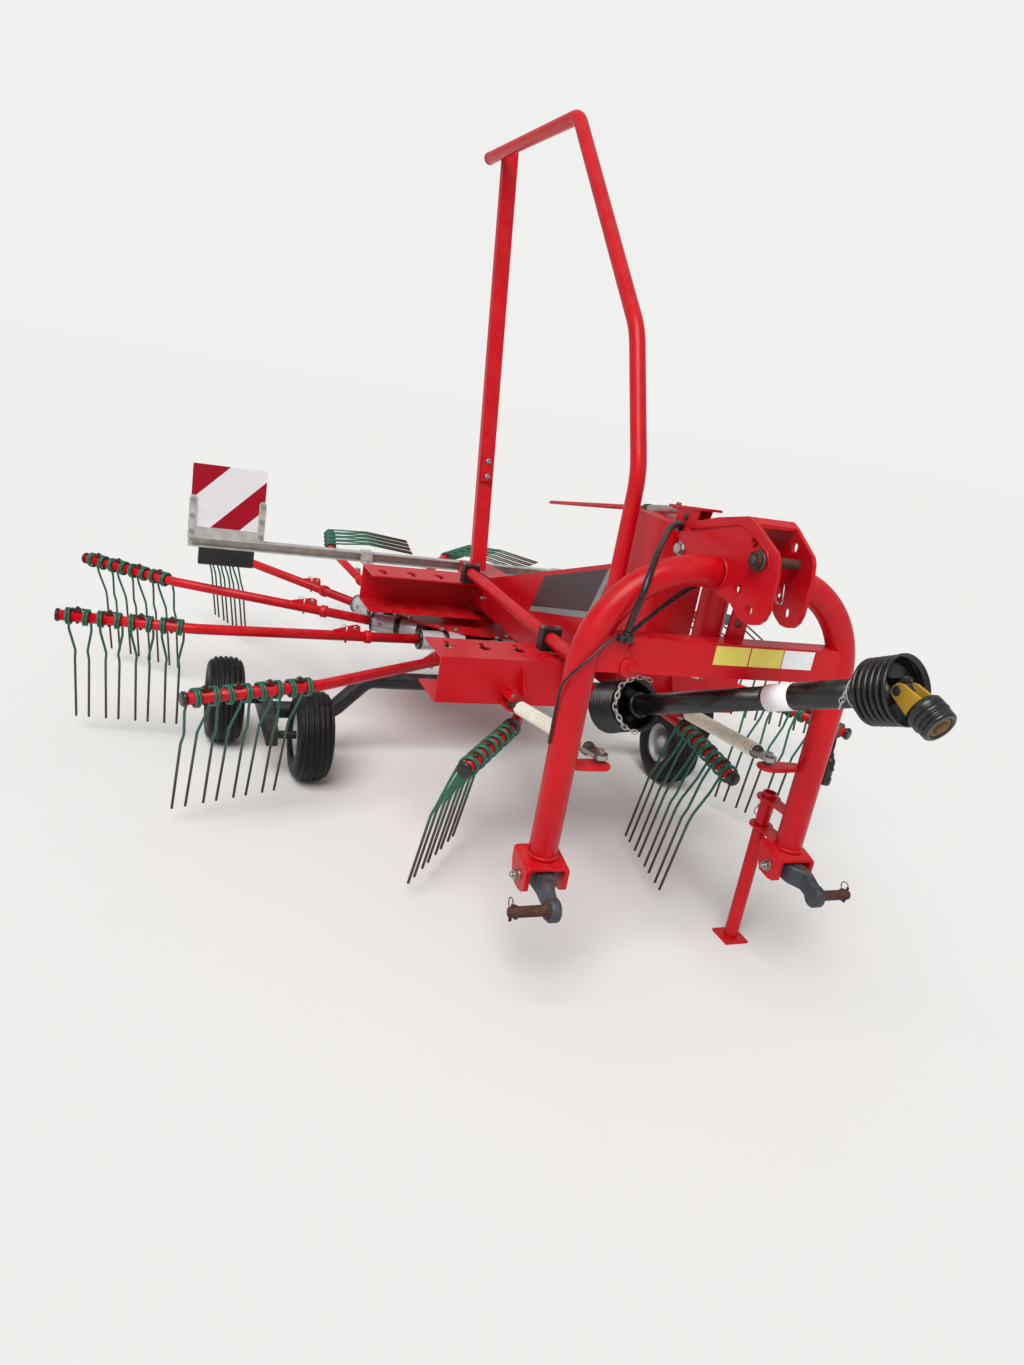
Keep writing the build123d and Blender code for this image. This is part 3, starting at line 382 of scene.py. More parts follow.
class RakeSizes(bpy.types.PropertyGroup):
    """Sizes that shape the visible detail."""

    tine_wire: bpy.props.FloatProperty(
        name="Tine wire", description="Diameter of the tines' spring wire", default=0.009, unit="LENGTH"
    )
    coil_turns: bpy.props.FloatProperty(
        name="Coil turns", description="Turns of each coil of a double tine", default=2.25
    )
    tyre_ribs: bpy.props.IntProperty(
        name="Tyre ribs", description="Ribs that run round each tyre", default=7
    )
    damper_wire: bpy.props.FloatProperty(
        name="Damper wire", description="Wire of the dampers' springs", default=0.007, unit="LENGTH"
    )
    bell_ribs: bpy.props.IntProperty(
        name="Bell ribs", description="Ribs of each bell of the drive shaft's guard", default=5
    )


def settings(kind):
    """The scene's colours or sizes."""
    return getattr(bpy.context.scene, f"rake_{kind}")


def feed(tree, made, **inputs):
    """Sets a node's inputs, or links the sockets given for them; _ is a space and i7 input 7."""
    for key, value in inputs.items():
        numbered = key[0] == "i" and key[1:].isdigit()
        socket = made.inputs[int(key[1:]) if numbered else key.replace("_", " ")]
        if isinstance(value, bpy.types.NodeSocket):
            tree.links.new(value, socket)
        else:
            socket.default_value = value
    return made


def node(tree, kind, values=(), **inputs):
    """A new node with its settings and inputs."""
    made = tree.nodes.new(f"ShaderNode{kind}")
    for key, value in dict(values).items():
        setattr(made, key, value)
    return feed(tree, made, **inputs)


def calc(tree, operation, first, second):
    """The result of one operation on two values."""
    return node(tree, "Math", {"operation": operation}, i0=first, i1=second).outputs[0]


def noise(tree, place, size, detail, rough=0.5):
    """Noise between 0 and 1; the greater the size, the finer it is."""
    made = node(tree, "TexNoise", Vector=place, Scale=size, Detail=detail, Roughness=rough)
    return made.outputs["Fac"]


def ramp(tree, value, low, high, start=0.0, end=1.0):
    """A value that goes from start at low to end at high, and no further."""
    limits = {"From_Min": low, "From_Max": high, "To_Min": start, "To_Max": end}
    return node(tree, "MapRange", Value=value, **limits).outputs["Result"]


def mixed(tree, share, first, second):
    """The colour between two others by a share."""
    return node(tree, "Mix", {"data_type": "RGBA"}, i0=share, i6=first, i7=second).outputs[2]


def shade(colour, by):
    """A colour made lighter or darker, with alpha 1."""
    return (*[min(1.0, part * by) for part in colour], 1.0)


def tone(tree, value, low, high, colour, dark, light):
    """A colour that goes from its dark shade at low to its light shade at high."""
    return mixed(tree, ramp(tree, value, low, high), shade(colour, dark), shade(colour, light))


def coat(name):
    """The material of a finish: colour that varies by noise, dust on upward faces, fine bump."""
    label = f"rake_{name}"
    if label in bpy.data.materials:
        return bpy.data.materials[label]
    material = bpy.data.materials.new(label)
    material.use_nodes = True
    tree = material.node_tree
    shader = tree.nodes["Principled BSDF"]
    place = node(tree, "TexCoord").outputs["Object"]
    colours = settings("colours")
    if name in SPECIAL:
        SPECIAL[name](tree, shader, place, colours)
        return material
    key, rough, metal, vary, size, dust, bump, grain, gloss = FINISHES[name]
    broad = noise(tree, place, size, 5.0, 0.6)
    paint = tone(tree, broad, 0.3, 0.7, getattr(colours, key), 1 - vary, 1 + vary * 0.6)
    normal = node(tree, "NewGeometry").outputs["Normal"]
    upward = node(tree, "SeparateXYZ", Vector=normal).outputs["Z"]
    patches = noise(tree, place, size * 2.7, 8.0, 0.7)
    lying = calc(tree, "MULTIPLY", ramp(tree, upward, -0.2, 1.0), ramp(tree, patches, 0.42, 0.75))
    dusty = calc(tree, "MULTIPLY", lying, min(1.0, dust * 2.2))
    feed(
        tree, shader, Base_Color=mixed(tree, dusty, paint, (*colours.dust, 1.0)),
        Roughness=ramp(tree, patches, 0.0, 1.0, rough * 0.8, min(1.0, rough * 1.3)),
        Metallic=metal, Specular_IOR_Level=gloss,
    )
    if bump:
        fine = noise(tree, place, grain, 3.0)
        relief = node(tree, "Bump", Height=fine, Distance=bump / 1000, Strength=0.6)
        feed(tree, shader, Normal=relief.outputs["Normal"])
    return material


def tine_coat(tree, shader, place, colours):
    """Green paint that wears to brown steel towards the foot, by the wire's run."""
    run = node(tree, "Attribute", {"attribute_name": "run"}).outputs["Fac"]
    patches = noise(tree, place, 60.0, 6.0)
    worn = ramp(tree, calc(tree, "ADD", run, ramp(tree, patches, 0.2, 1.8)), 0.48, 0.92)
    brown = tone(tree, patches, 0.35, 0.7, colours.tine_low, 0.7, 1.2)
    green = tone(tree, patches, 0.3, 0.7, colours.tine_top, 0.85, 1.15)
    feed(tree, shader, Base_Color=mixed(tree, worn, green, brown), Roughness=0.42, Metallic=0.15)


def board_coat(tree, shader, place, colours):
    """White board with slanted crimson bands: a band where z - y falls in given ranges."""
    parts = node(tree, "SeparateXYZ", Vector=place).outputs
    slope = calc(tree, "SUBTRACT", parts["Z"], parts["Y"])
    blur = 0.001
    # lower and upper limit of z - y in each crimson band
    bands = [
        calc(tree, "MULTIPLY", ramp(tree, slope, low, low + blur), ramp(tree, slope, high + blur, high))
        for low, high in ((1.749, 1.862), (2.045, 2.3))
    ]
    patches = noise(tree, place, 14.0, 6.0)
    crimson = tone(tree, patches, 0.3, 0.75, colours.crimson, 0.9, 1.1)
    white = tone(tree, patches, 0.3, 0.75, colours.white, 0.92, 1.0)
    colour = mixed(tree, calc(tree, "MAXIMUM", *bands), white, crimson)
    feed(tree, shader, Base_Color=colour, Roughness=0.4, Specular_IOR_Level=0.2)


def floor_coat(tree, shader, place, colours):
    """Pale matt floor with a faint variation."""
    colour = tone(tree, noise(tree, place, 1.5, 4.0), 0.0, 1.0, colours.floor, 0.97, 1.0)
    feed(tree, shader, Base_Color=colour, Roughness=0.9, Specular_IOR_Level=0.1)


SPECIAL = {"tine_wire": tine_coat, "board": board_coat, "floor": floor_coat}


class Step(bpy.types.Operator):
    """One step of the rake's making."""

    bl_options = {"REGISTER", "UNDO"}

    def execute(self, context):
        self.build()
        return {"FINISHED"}


class RAKE_OT_stage(Step):
    """Camera of the photograph, soft lamps, pale floor and white surroundings"""

    bl_idname = "rake.stage"
    bl_label = "Stage"

    def build(self):
        scene = bpy.context.scene
        yaw, pitch, roll = np.radians([156.688, -17.974, 10.237])
        ahead = np.array([np.cos(yaw) * np.cos(pitch), np.sin(yaw) * np.cos(pitch), np.sin(pitch)])
        level = np.array([np.sin(yaw), -np.cos(yaw), 0.0])
        upright = np.cross(level, ahead)
        right = np.cos(roll) * level + np.sin(roll) * upright
        up = -np.sin(roll) * level + np.cos(roll) * upright
        lens = bpy.data.cameras.new("photograph")
        lens.lens, lens.sensor_width, lens.clip_start = 24.718, 36.0, 0.05
        stand = np.array([3.797, -1.376, 1.528]) - MIDDLE
        scene.camera = show("photograph", lens, (right, up, -ahead), stand)
        scene.view_settings.view_transform = "Standard"

        reach = 40.0
        mesh = bpy.data.meshes.new("floor")
        corners = [(-reach, -reach, 0), (reach, -reach, 0), (reach, reach, 0), (-reach, reach, 0)]
        mesh.from_pydata(corners, [], [(0, 1, 2, 3)])
        mesh.materials.append(coat("floor"))
        plane = show("floor", mesh)

        # One broad sun, so that the floor is equally bright near and far
        light = bpy.data.lights.new("sky", "SUN")
        light.energy, light.angle = 2.6, math.radians(40)
        away = unit((0.55, -0.45, 1.0))
        side = unit(np.cross(Z, away))
        show("sky", light, (side, np.cross(away, side), away))

        world = bpy.data.worlds.new("surroundings")
        scene.world = world
        world.use_nodes = True
        tree = world.node_tree
        tree.nodes.clear()
        rays = node(tree, "LightPath").outputs
        seen = calc(tree, "MAXIMUM", rays["Is Camera Ray"], rays["Is Transmission Ray"])
        soft = node(tree, "Background", Color=(0.97, 0.98, 1.0, 1.0), Strength=0.44)
        backdrop = (*settings("colours").backdrop, 1.0)
        white = node(tree, "Background", Color=backdrop, Strength=1.0)
        blend = node(tree, "MixShader", i0=seen, i1=soft.outputs[0], i2=white.outputs[0])
        node(tree, "OutputWorld", Surface=blend.outputs[0])


# CAD nodes that are shown as they are, by finish
SHOWN = {
    "red_paint": [
        "main_beam", "gear_housing", "crossbeam", "top_link_head", "parking_stand", "guard_hoop", "rotor_hub",
        *(f"rack_{end}_{side}" for end in ("front", "rear") for side in ("right", "left")),
    ],
    "black_steel": ["guard_clamps", "undercarriage", "axle_beam_right", "axle_beam_left"],
    "bright_steel": ["swivel_pin", "damper_rod_right", "damper_rod_left"],
    "rim_paint": [f"rim_{end}_{side}" for end in ("front", "rear") for side in ("right", "left")],
    "galvanised": ["rear_bar"],
    "board": ["warning_board"],
    "rusty_steel": ["top_link_pin"],
    "aluminium": ["arm_sockets"],
}


class RAKE_OT_paint(Step):
    """Gives each shown CAD node its finish"""

    bl_idname = "rake.paint"
    bl_label = "Paint of the frame"

    def build(self):
        for finish, names in SHOWN.items():
            for name in names:
                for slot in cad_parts[name].material_slots:
                    slot.material = coat(finish)


# Directions of the inner and outer run of the arm whose tip lies on +X
INNER, OUTER = unit(ELBOW - ROOT), unit(TIP - ELBOW)


def around(index):
    """A function that turns points of the arm on +X to the place of one of the twelve."""
    angle = FIRST_ARM + index * 2 * np.pi / ARM_COUNT
    spin = np.array([[np.cos(angle), -np.sin(angle), 0], [np.sin(angle), np.cos(angle), 0], [0, 0, 1]])
    return lambda points: points @ spin.T + (0, 0, ARM_HEIGHT)


def all_round(form):
    """A form repeated at the places of the twelve arms."""
    whole = Form()
    for index in range(ARM_COUNT):
        whole.join(form, around(index))
    return whole


class RAKE_OT_arms(Step):
    """Bent arm tubes with caps, collars, lock plates and their spring pins"""

    bl_idname = "rake.arms"
    bl_label = "Tine arms"

    def build(self):
        side = np.cross(Z, INNER)
        arm = Form()
        tube = bent([ROOT - INNER * 0.098, ELBOW, TIP], [ELBOW_RADIUS])
        carry(arm, circle(ARM_TUBE / 2, 24), tube, Z)
        cap = mm((0, -2), (23, -2), (23.5, 4), (21, 8), (0, 8))
        turn(arm, cap, TIP, OUTER, 28, 1)
        # collar and lock plate between the socket and the elbow
        half = mm((19, 12), (24.5, 12), (25.5, 10))
        collar = np.concatenate([half * (1, -1), half[::-1]])
        turn(arm, collar, ROOT + INNER * (LOCK_DISTANCE - 0.03), INNER, 28)
        start = ROOT + INNER * LOCK_DISTANCE
        outline = mm((0, 12), (110, 16), (108, 22), (30, 45), (14, 46), (4, 40))
        plate = Form()
        slab(plate, outline, -0.003, 0.003)
        arm.join(plate, lambda points: start + points @ np.stack([INNER, side, Z]))
        pipe(arm, 0.0045, 0.0085, -0.0036, 0.0036, start + INNER * 0.022 + Z * 0.032, side, 16, 2)
        ring = Z * 0.03 + INNER * 0.012
        pin = start + INNER * 0.055
        locking_pin(arm, pin, Z, (-0.027, 0.037), 0.0045, ring, (INNER, Z), 0.013, 0.0028, 2)
        finishes = ["red_paint", "guard_plastic", "bright_steel"]
        make("arm_tubes", "rotor", all_round(arm), finishes, ["tine_arms"])


def tine_path(wire, turns):
    """Centre line of half a double tine from its foot up to the coil's end at the top, and its run.

    The coil is radius * (cos t, sin t) about the arm while x moves in by one wire a turn."""
    radius = (0.062 - wire) / 2
    outer_x = 0.015 + 0.027 - wire / 2
    upper_lean, lower_lean = np.tan(np.radians([19, 9]))
    drop, whole_drop = 0.185, 0.425
    heel = np.array([outer_x, -radius, 0.0])
    waist = heel - (0, 0.062 * upper_lean, 0.062)
    kink = heel - (0.017, 0.15 * upper_lean, 0.15)
    knee = np.array([0.024, -radius - drop * upper_lean, -drop])
    foot = np.array([0.022, knee[1] - (whole_drop - drop) * lower_lean, -whole_drop])
    leg = bent([foot, knee, kink, waist, heel], [0.06, 0.05, 0.05], 0.006)[:-1]
    angle = np.pi - np.linspace(0, turns * 2 * np.pi, int(turns * 20))
    across = outer_x - np.linspace(0, turns * wire, len(angle))
    coil = np.stack([across, radius * np.cos(angle), radius * np.sin(angle)], 1)
    run = np.clip(-leg[:, 2] / whole_drop, 0, 1)
    return np.concatenate([leg, coil]), np.concatenate([run, np.zeros(len(coil))])


class RAKE_OT_tines(Step):
    """Double spring tines, each one wire: leg, coil, bridge, coil and leg, with clamp bolt and nut"""

    bl_idname = "rake.tines"
    bl_label = "Spring tines"

    def build(self):
        sizes = settings("sizes")
        half, run = tine_path(sizes.tine_wire, sizes.coil_turns)
        path = np.concatenate([half, half[::-1] * (-1, 1, 1)])
        ahead = unit(np.gradient(path, axis=0))
        # the outline stands by X, and by Y where the wire itself runs along X
        side = unit(np.cross(ahead, X))
        side[np.abs(ahead[:, 0]) > 0.95] = Y
        tine = Form()
        wire = circle(sizes.tine_wire / 2, 7)
        carry(tine, wire, path, X, run=np.concatenate([run, run[::-1]]), side=side)
        # clamp over the bridge: saddle, bolt head and nut
        half = mm((11, 18), (11, 27), (7, 30.5))
        slab(tine, np.concatenate([half * (-1, 1), half[::-1]]), -0.011, 0.011, 1)
        bolt(tine, (0, 0, 0.031), Z, 0.0065, 2)
        bolt(tine, (0, 0, -0.019), -Z, 0.0065, 2)
        heading = np.stack([OUTER, np.cross(Z, OUTER), Z])
        for index, roll in enumerate(ROLLS):
            rolled = np.array([[1, 0, 0], [0, np.cos(roll), -np.sin(roll)], [0, np.sin(roll), np.cos(roll)]])
            arm = Form()
            for number in range(4):
                place = TIP - OUTER * (TINE_END + number * TINE_PITCH)
                arm.join(tine, lambda points: place + points @ rolled @ heading)
            placed = Form()
            placed.join(arm, around(index))
            name = f"{index + 1:02d}"
            finishes = ["tine_wire", "clamp_red", "rusty_steel"]
            make(f"tines_{name}", "rotor", placed, finishes, [f"spring_tines_{name}"])


class RAKE_OT_hub(Step):
    """Black mouth rings and clamp bolts of the arm sockets"""

    bl_idname = "rake.hub"
    bl_label = "Hub details"

    def build(self):
        socket = Form()
        middle = ROOT - INNER * SOCKET_LENGTH / 2
        for reach in (-0.06, 0.0):
            bolt(socket, middle + INNER * reach + Z * 0.0445, Z, 0.012, 1)
        mouth = ROOT - INNER * 0.01
        ring = mm((20, 0), (38.5, 0), (40.5, 2), (40.5, 10), (37.5, 12.5), (21.5, 12.5), (20, 0))
        turn(socket, ring, mouth, INNER, 32, 2)
        band = mm((36.2, -12), (38.5, -10), (38.5, 10), (36.2, 12))
        turn(socket, band, ROOT - INNER * 0.11, INNER, 32, 2)
        for out in (-np.cross(Z, INNER), np.cross(Z, INNER)):
            bolt(socket, mouth - INNER * 0.03 + out * 0.0355, out, 0.008, 1)
        make("hub_details", "rotor", all_round(socket), ["red_paint", "bright_steel", "guard_plastic"])


class RAKE_OT_wheels(Step):
    """Ribbed tyres, rim bolts and grease caps of the four wheels"""

    bl_idname = "rake.wheels"
    bl_label = "Wheels"

    def build(self):
        half = 0.065
        across = np.linspace(-1, 1, 60)
        # crown falls towards the shoulders as the fourth power; ribs are a flattened cosine
        crown = 0.162 - 0.018 * across**4
        wave = np.cos(across * 0.9 * np.pi * settings("sizes").tyre_ribs)
        crown += np.where(np.abs(across) < 0.9, 0.003 * np.clip(wave * 3, -1, 1), 0)
        tread = np.stack([crown, across * half * 0.93], 1)
        upper = np.array([(0.136, 0.985), (0.122, 1.0)]) * (1, half)
        lower = np.array([(0.106, 0.996), (0.088, 0.92), (0.082, 0.8)]) * (1, half)
        profile = np.concatenate([lower[::-1] * (1, -1), upper[::-1] * (1, -1), tread, upper, lower])
        profile = np.concatenate([profile, profile[:1]])
        cap = mm((30, 0), (30, 4), (20, 10), (18, 16), (0, 18))
        for place, x, y, disc in WHEELS:
            for side, sign in (("right", -1), ("left", 1)):
                centre = np.array([x, sign * y, WHEEL_RADIUS])
                tyre, rim = Form(), Form()
                turn(tyre, profile, centre, Y, 96)
                name, replaced = f"wheel_{place}_{side}", f"tyre_{place}_{side}"
                rubber = "tyre_rubber"
                make(f"tyre_ribbed_{place}_{side}", name, tyre, [rubber], [replaced])
                for angle in np.arange(4) * np.pi / 2 + 0.4:
                    spoke = np.array([np.cos(angle), 0, np.sin(angle)])
                    for way in (-1, 1):
                        spot = centre + spoke * 0.048 + Y * (disc * sign + way * 0.004)
                        bolt(rim, spot, Y * way, 0.008)
                for way in (-1, 1):
                    turn(rim, cap, centre + Y * way * 0.035, Y * way, 28, 1)
                make(f"rim_details_{place}_{side}", name, rim, ["bright_steel", "rim_paint"])


def bell(form, base, axis, ribs, run, first, sharp, widen):
    """A bell of the guard: smooth lip and flange at its mouth, ribs up to a rounded shoulder, and back
    along the inner wall. The ribs' radius is R * (0.985 + widen * s) - 0.009 * (0.5 + 0.5 cos(2 pi n s))
    to the power sharp, where s is the share of the run from first to 0.95."""
    radius = 0.08
    share = np.linspace(0, 1, 18 * ribs)
    groove = 0.009 * (0.5 + 0.5 * np.cos(share * 2 * np.pi * ribs)) ** sharp
    height = (first + (0.95 - first) * share) * run
    ribbed = np.stack([radius * (0.985 + widen * share) - groove, height], 1)
    wall = np.concatenate([
        [(0, run * 0.5), (radius * 0.8, run * 0.5), (radius * 0.88, run * 0.3)],
        [(radius - 0.004, 0), (radius, 0.003), (radius, 0.008), (radius - 0.004, 0.011)],
        ribbed,
        [(radius * 0.86, run * 0.97), (radius * 0.78, run + 0.004), (0.04, run + 0.014)],
        [(0.036, run + 0.02), (0, run + 0.02)],
    ])
    turn(form, wall, base, axis, 56)


class RAKE_OT_drive(Step):
    """Guard of the drive shaft with its bells, band and chain, and the drooping front joint"""

    bl_idname = "rake.drive"
    bl_label = "Drive shaft"

    def build(self):
        along = unit(SHAFT_END - JOINT)
        self.guard(along)
        self.joint(along, unit(YOKE_AHEAD))

    def guard(self, along):
        length = np.linalg.norm(SHAFT_END - JOINT)
        ribs = settings("sizes").bell_ribs
        rear_mouth = JOINT + along * 0.17
        shaft = Form()
        bell(shaft, rear_mouth, -along, ribs + 2, 0.155, 0.3, 0.6, 0.06)
        bell(shaft, SHAFT_END - along * 0.012, -along, ribs, 0.1, 0.16, 1.6, -0.03)
        split, end = 0.62 * length, length - 0.09
        pipe(shaft, 0, 0.031, 0.1, split, JOINT, along, 32)
        outer_tube = [(0, split), (0.032, split), (0.034, split + 0.003), (0.034, end), (0, end)]
        turn(shaft, outer_tube, JOINT, along)
        ring = mm((31, 158), (37, 158), (39, 162), (39, 176), (37, 180), (31, 180))
        turn(shaft, ring, JOINT, along)
        # light band, and a wire clip by the front bell
        band = split + 0.01
        pipe(shaft, 0.0342, 0.0346, band, band + 0.082, JOINT, along, 32, 1)
        clip = JOINT + along * (length - 0.14)
        wire_ring(shaft, clip, np.cross(along, Y), Y, 0.0365, 0.004, 2, 8, 40)
        for drop, spin in ((0.006, Z), (0.018, along), (0.031, Z)):
            spot = clip - along * 0.004 - Y * 0.038 - Z * drop
            wire_ring(shaft, spot, spin + along * 0.3, Z, 0.008, 0.003, 2)
        # chain round the near half of the rear mouth: links stand across one another by turns
        rise = unit(np.cross(Y, -along))
        around_link = np.linspace(0, 2 * np.pi, 17)[:, None]
        for number, angle in enumerate(np.linspace(math.radians(112), math.radians(-76), 17)):
            out = math.sin(angle) * rise - math.cos(angle) * Y
            lies = -math.cos(angle) * rise - math.sin(angle) * Y
            spot = rear_mouth + along * (0.006 + 0.003 * math.sin(number * 1.7)) + out * 0.0825
            flat = unit(along + 0.3 * out) if number % 2 else unit(out - 0.3 * along)
            link = spot + 0.0115 * np.cos(around_link) * lies + 0.0065 * np.sin(around_link) * flat
            carry(shaft, circle(0.002, 6), link, np.cross(lies, flat), 2)
        finishes = ["guard_plastic", "label_white", "galvanised"]
        make("shaft_guard", "frame", shaft, finishes, ["drive_shaft"])

    def joint(self, along, ahead):
        # dark cross and fork, yellow yoke, black ribbed collar with a brass ring in it
        middle = SHAFT_END - along * 0.02
        joint = Form()
        stub = mm((0, -75), (24, -75), (26, -45), (26, -34), (0, -30))
        turn(joint, stub, middle, along, 28, 3)
        across = unit(np.cross(ahead, Z))
        upward = np.cross(across, ahead)
        rear_up = unit(np.cross(across, along))
        fork = mm((0, 16), (10, 12), (14, 0))
        fork = [(-0.05, -0.013), *(fork * (1, -1)), *fork[1::-1], (-0.05, 0.013)]
        yoke = mm((-10, 13), (0, 18), (60, 26))
        yoke = [(-0.014, 0.0), *(yoke * (1, -1)), *yoke[::-1]]
        cup = mm((0, 16), (11, 16), (11, 29), (8, 30), (0, 30))
        for way in (-1, 1):
            for outline, low, high, finish, axes in (
                (fork, 0.017, 0.027, 0, (along, rear_up * way, across)),
                (yoke, 0.018, 0.0275, 1, (ahead, across * way, upward)),
            ):
                ear = Form()
                slab(ear, outline, low, high, finish)
                joint.join(ear, lambda points: middle + points @ np.stack(axes))
            turn(joint, cup, middle, rear_up * way, 20, 3)
            turn(joint, cup, middle, across * way, 20, 3)
        for axis in (rear_up, across):
            pipe(joint, 0, 0.01, -0.018, 0.018, middle, axis, 20, 3)
        hub = mm((0, 50), (27.5, 50), (31, 58), (34, 74), (36, 86), (17.6, 86))
        collar = mm(
            (30, 56), (39.5, 56), (42.5, 60), (42.5, 74), (39.5, 76), (39.5, 79), (42.5, 81), (42.5, 89),
            (38, 91), (38, 94), (40, 95), (40, 101), (37.2, 102), (37.2, 105), (40, 106), (39.5, 113),
            (36, 116.5), (29, 116.5), (27, 112), (27, 100),
        )
        bore = mm((27.5, 100), (27, 113.5), (21.5, 115), (17.6, 113), (17.6, 62), (0, 62))
        turn(joint, hub, middle, ahead, 40, 1)
        turn(joint, collar, middle, ahead, 44)
        turn(joint, bore, middle, ahead, 40, 2)
        finishes = ["guard_plastic", "yoke_yellow", "brass", "dark_steel"]
        make("shaft_joint", "frame", joint, finishes, ["drive_shaft_yoke"])


class RAKE_OT_dampers(Step):
    """Close-wound springs of the two swivel dampers with their end cups, eyes and nuts"""

    bl_idname = "rake.dampers"
    bl_label = "Dampers"

    def build(self):
        wire = settings("sizes").damper_wire
        for side, sign in SIDES:
            flip = np.array([1, sign, 1])
            rear, front = DAMPER_REAR * flip, DAMPER_FRONT * flip
            barrel_body, rod_body = f"barrel_{side}", f"rod_{side}"
            along = unit(front - rear)
            length = np.linalg.norm(front - rear)
            low, high = 0.048, length - 0.064
            turns = int((high - low) / (wire * 1.8))
            angle = np.linspace(0, turns * 2 * np.pi, turns * 16)[:, None]
            reach = np.linspace(low, high, len(angle))[:, None]
            first = unit(np.cross(along, Z))
            ring = np.cos(angle) * first + np.sin(angle) * np.cross(along, first)
            spring = Form()
            carry(spring, circle(wire / 2, 8), rear + reach * along + (0.022 - wire / 2) * ring, along)
            ends = rod_body, rear + along * low, rear + along * high
            make(f"damper_spring_{side}", barrel_body, spring, ["spring_cream"], bend=ends)
            # barrel with its cup and rear eye
            barrel = Form()
            end = length - 0.126
            core = [(0, 0.038), (0.012, 0.038), (0.012, end), (0.0085, end), (0.0085, 0.06), (0, 0.06)]
            turn(barrel, core, rear, along, 24)
            cup = mm((0, 34), (20, 34), (22, 37), (22, 50), (12, 50))
            turn(barrel, cup, rear, along)
            pipe(barrel, 0.0071, 0.017, -0.011, 0.011, rear, Z, 28, closed=True)
            pipe(barrel, 0, 0.011, 0.012, 0.036, rear, along, 16)
            replaced = [f"damper_barrel_{side}"]
            make(f"damper_core_{side}", barrel_body, barrel, ["rusty_steel"], replaced)
            # front cup on the rod, and the nut over its eye
            cap, nut = Form(), Form()
            sleeve = mm((17, -74), (19.5, -72), (19.5, -58), (15, -52), (0, -52))
            turn(cap, sleeve, front, along)
            make(f"damper_cap_{side}", rod_body, cap, ["dark_steel"])
            bolt(nut, front + Z * 0.0068, Z, 0.0115)
            make(f"damper_nut_{side}", rod_body, nut, ["bright_steel"])


class RAKE_OT_frame_details(Step):
    """Plain panel of the main beam, bolts of the racks and clamps, gusset fins and weld beads"""

    bl_idname = "rake.frame_details"
    bl_label = "Frame details"

    def build(self):
        detail = Form()
        # panel with its stripe along the front and lower edges, laid on both sides of the beam
        rear_top, front_top = np.array([0.858, 0.888]), np.array([1.349, 1.038])
        front_low, rear_low = np.array([1.258, 0.853]), np.array([0.781, 0.74])
        rear_stripe, low_stripe = 0.86 * rear_low + 0.14 * rear_top, 0.86 * front_low + 0.14 * front_top
        front_stripe, top_stripe = 0.93 * low_stripe + 0.07 * rear_stripe, 0.93 * front_top + 0.07 * rear_top
        panel = [
            ([rear_top, top_stripe, front_stripe, rear_stripe], 1),
            ([rear_stripe, low_stripe, front_low, rear_low], 2),
            ([top_stripe, front_top, low_stripe, front_stripe], 2),
        ]
        fin = mm((1280.2, 612), (1330, 612), (1330.5, 622), (1280.2, 700))
        for sign in (-1, 1):
            for outline, finish in panel:
                slab(detail, outline, *sorted((sign * 0.0602, sign * 0.0608)), finish)
        # bolts on the racks' webs and the side plates
        for sign in (-1, 1):
            for y in (0.115, 0.48):
                bolt(detail, (0.1298, sign * y, 0.65), -X, 0.0115, 3)
            for x in (0.2, 0.3, 1.1, 1.2):
                bolt(detail, (x, sign * 0.0662, 0.65), Y * sign, 0.0115, 3)
            # gusset fins over the dampers' rear forks, whose bolts go through
            slab(detail, fin, *sorted((sign * 0.262, sign * 0.268)))
            bolt(detail, (1.335, sign * 0.3, 0.6112), Z, 0.01, 3)
            bolt(detail, (1.335, sign * 0.3, 0.5688), -Z, 0.01, 3)
        # bolts of the guard's clamps, and the cap over the swivel pin
        for x in (0.304, 1.15):
            for y in (-0.16, -0.11):
                bolt(detail, (x, y, 0.784), Z, 0.01, 3)
        turn(detail, [(0, 1.246), (0.01, 1.246), (0.012, 1.244), (0.012, 1.24)], (1.8, 0, 0), Z, 20, 3)
        # weld beads at the post
        for y in (-0.07, 0.07):
            weld(detail, [(1.431, y, 0.885), (1.431, y, 1.075)], Y, 0.008)
        weld(detail, [(1.431, -0.06, 1.0805), (1.431, 0.06, 1.0805)], X, 0.008)
        for z in (0.914, 1.196):
            weld(detail, [(1.6215, -0.048, z), (1.6215, 0.048, z)], X, 0.007)
        make("frame_details", "frame", detail, ["red_paint", "decal_dark", "decal_light", "bright_steel"])


# Front face of the crossbeam
BEAM_FACE = 1.9152
# Top-link pin, and how much nearer a head plate's outer face comes to the middle for each unit of x
PIN = np.array([2.022, 0.0, 1.223])
PLATE_SLOPE = 0.0938


def plate_point(x, sign, z):
    """A point on the outer face of a head plate: y is 0.0883 at x 1.708 and falls by the slope."""
    return np.array([x, sign * (0.0883 - PLATE_SLOPE * (x - 1.708)), z])


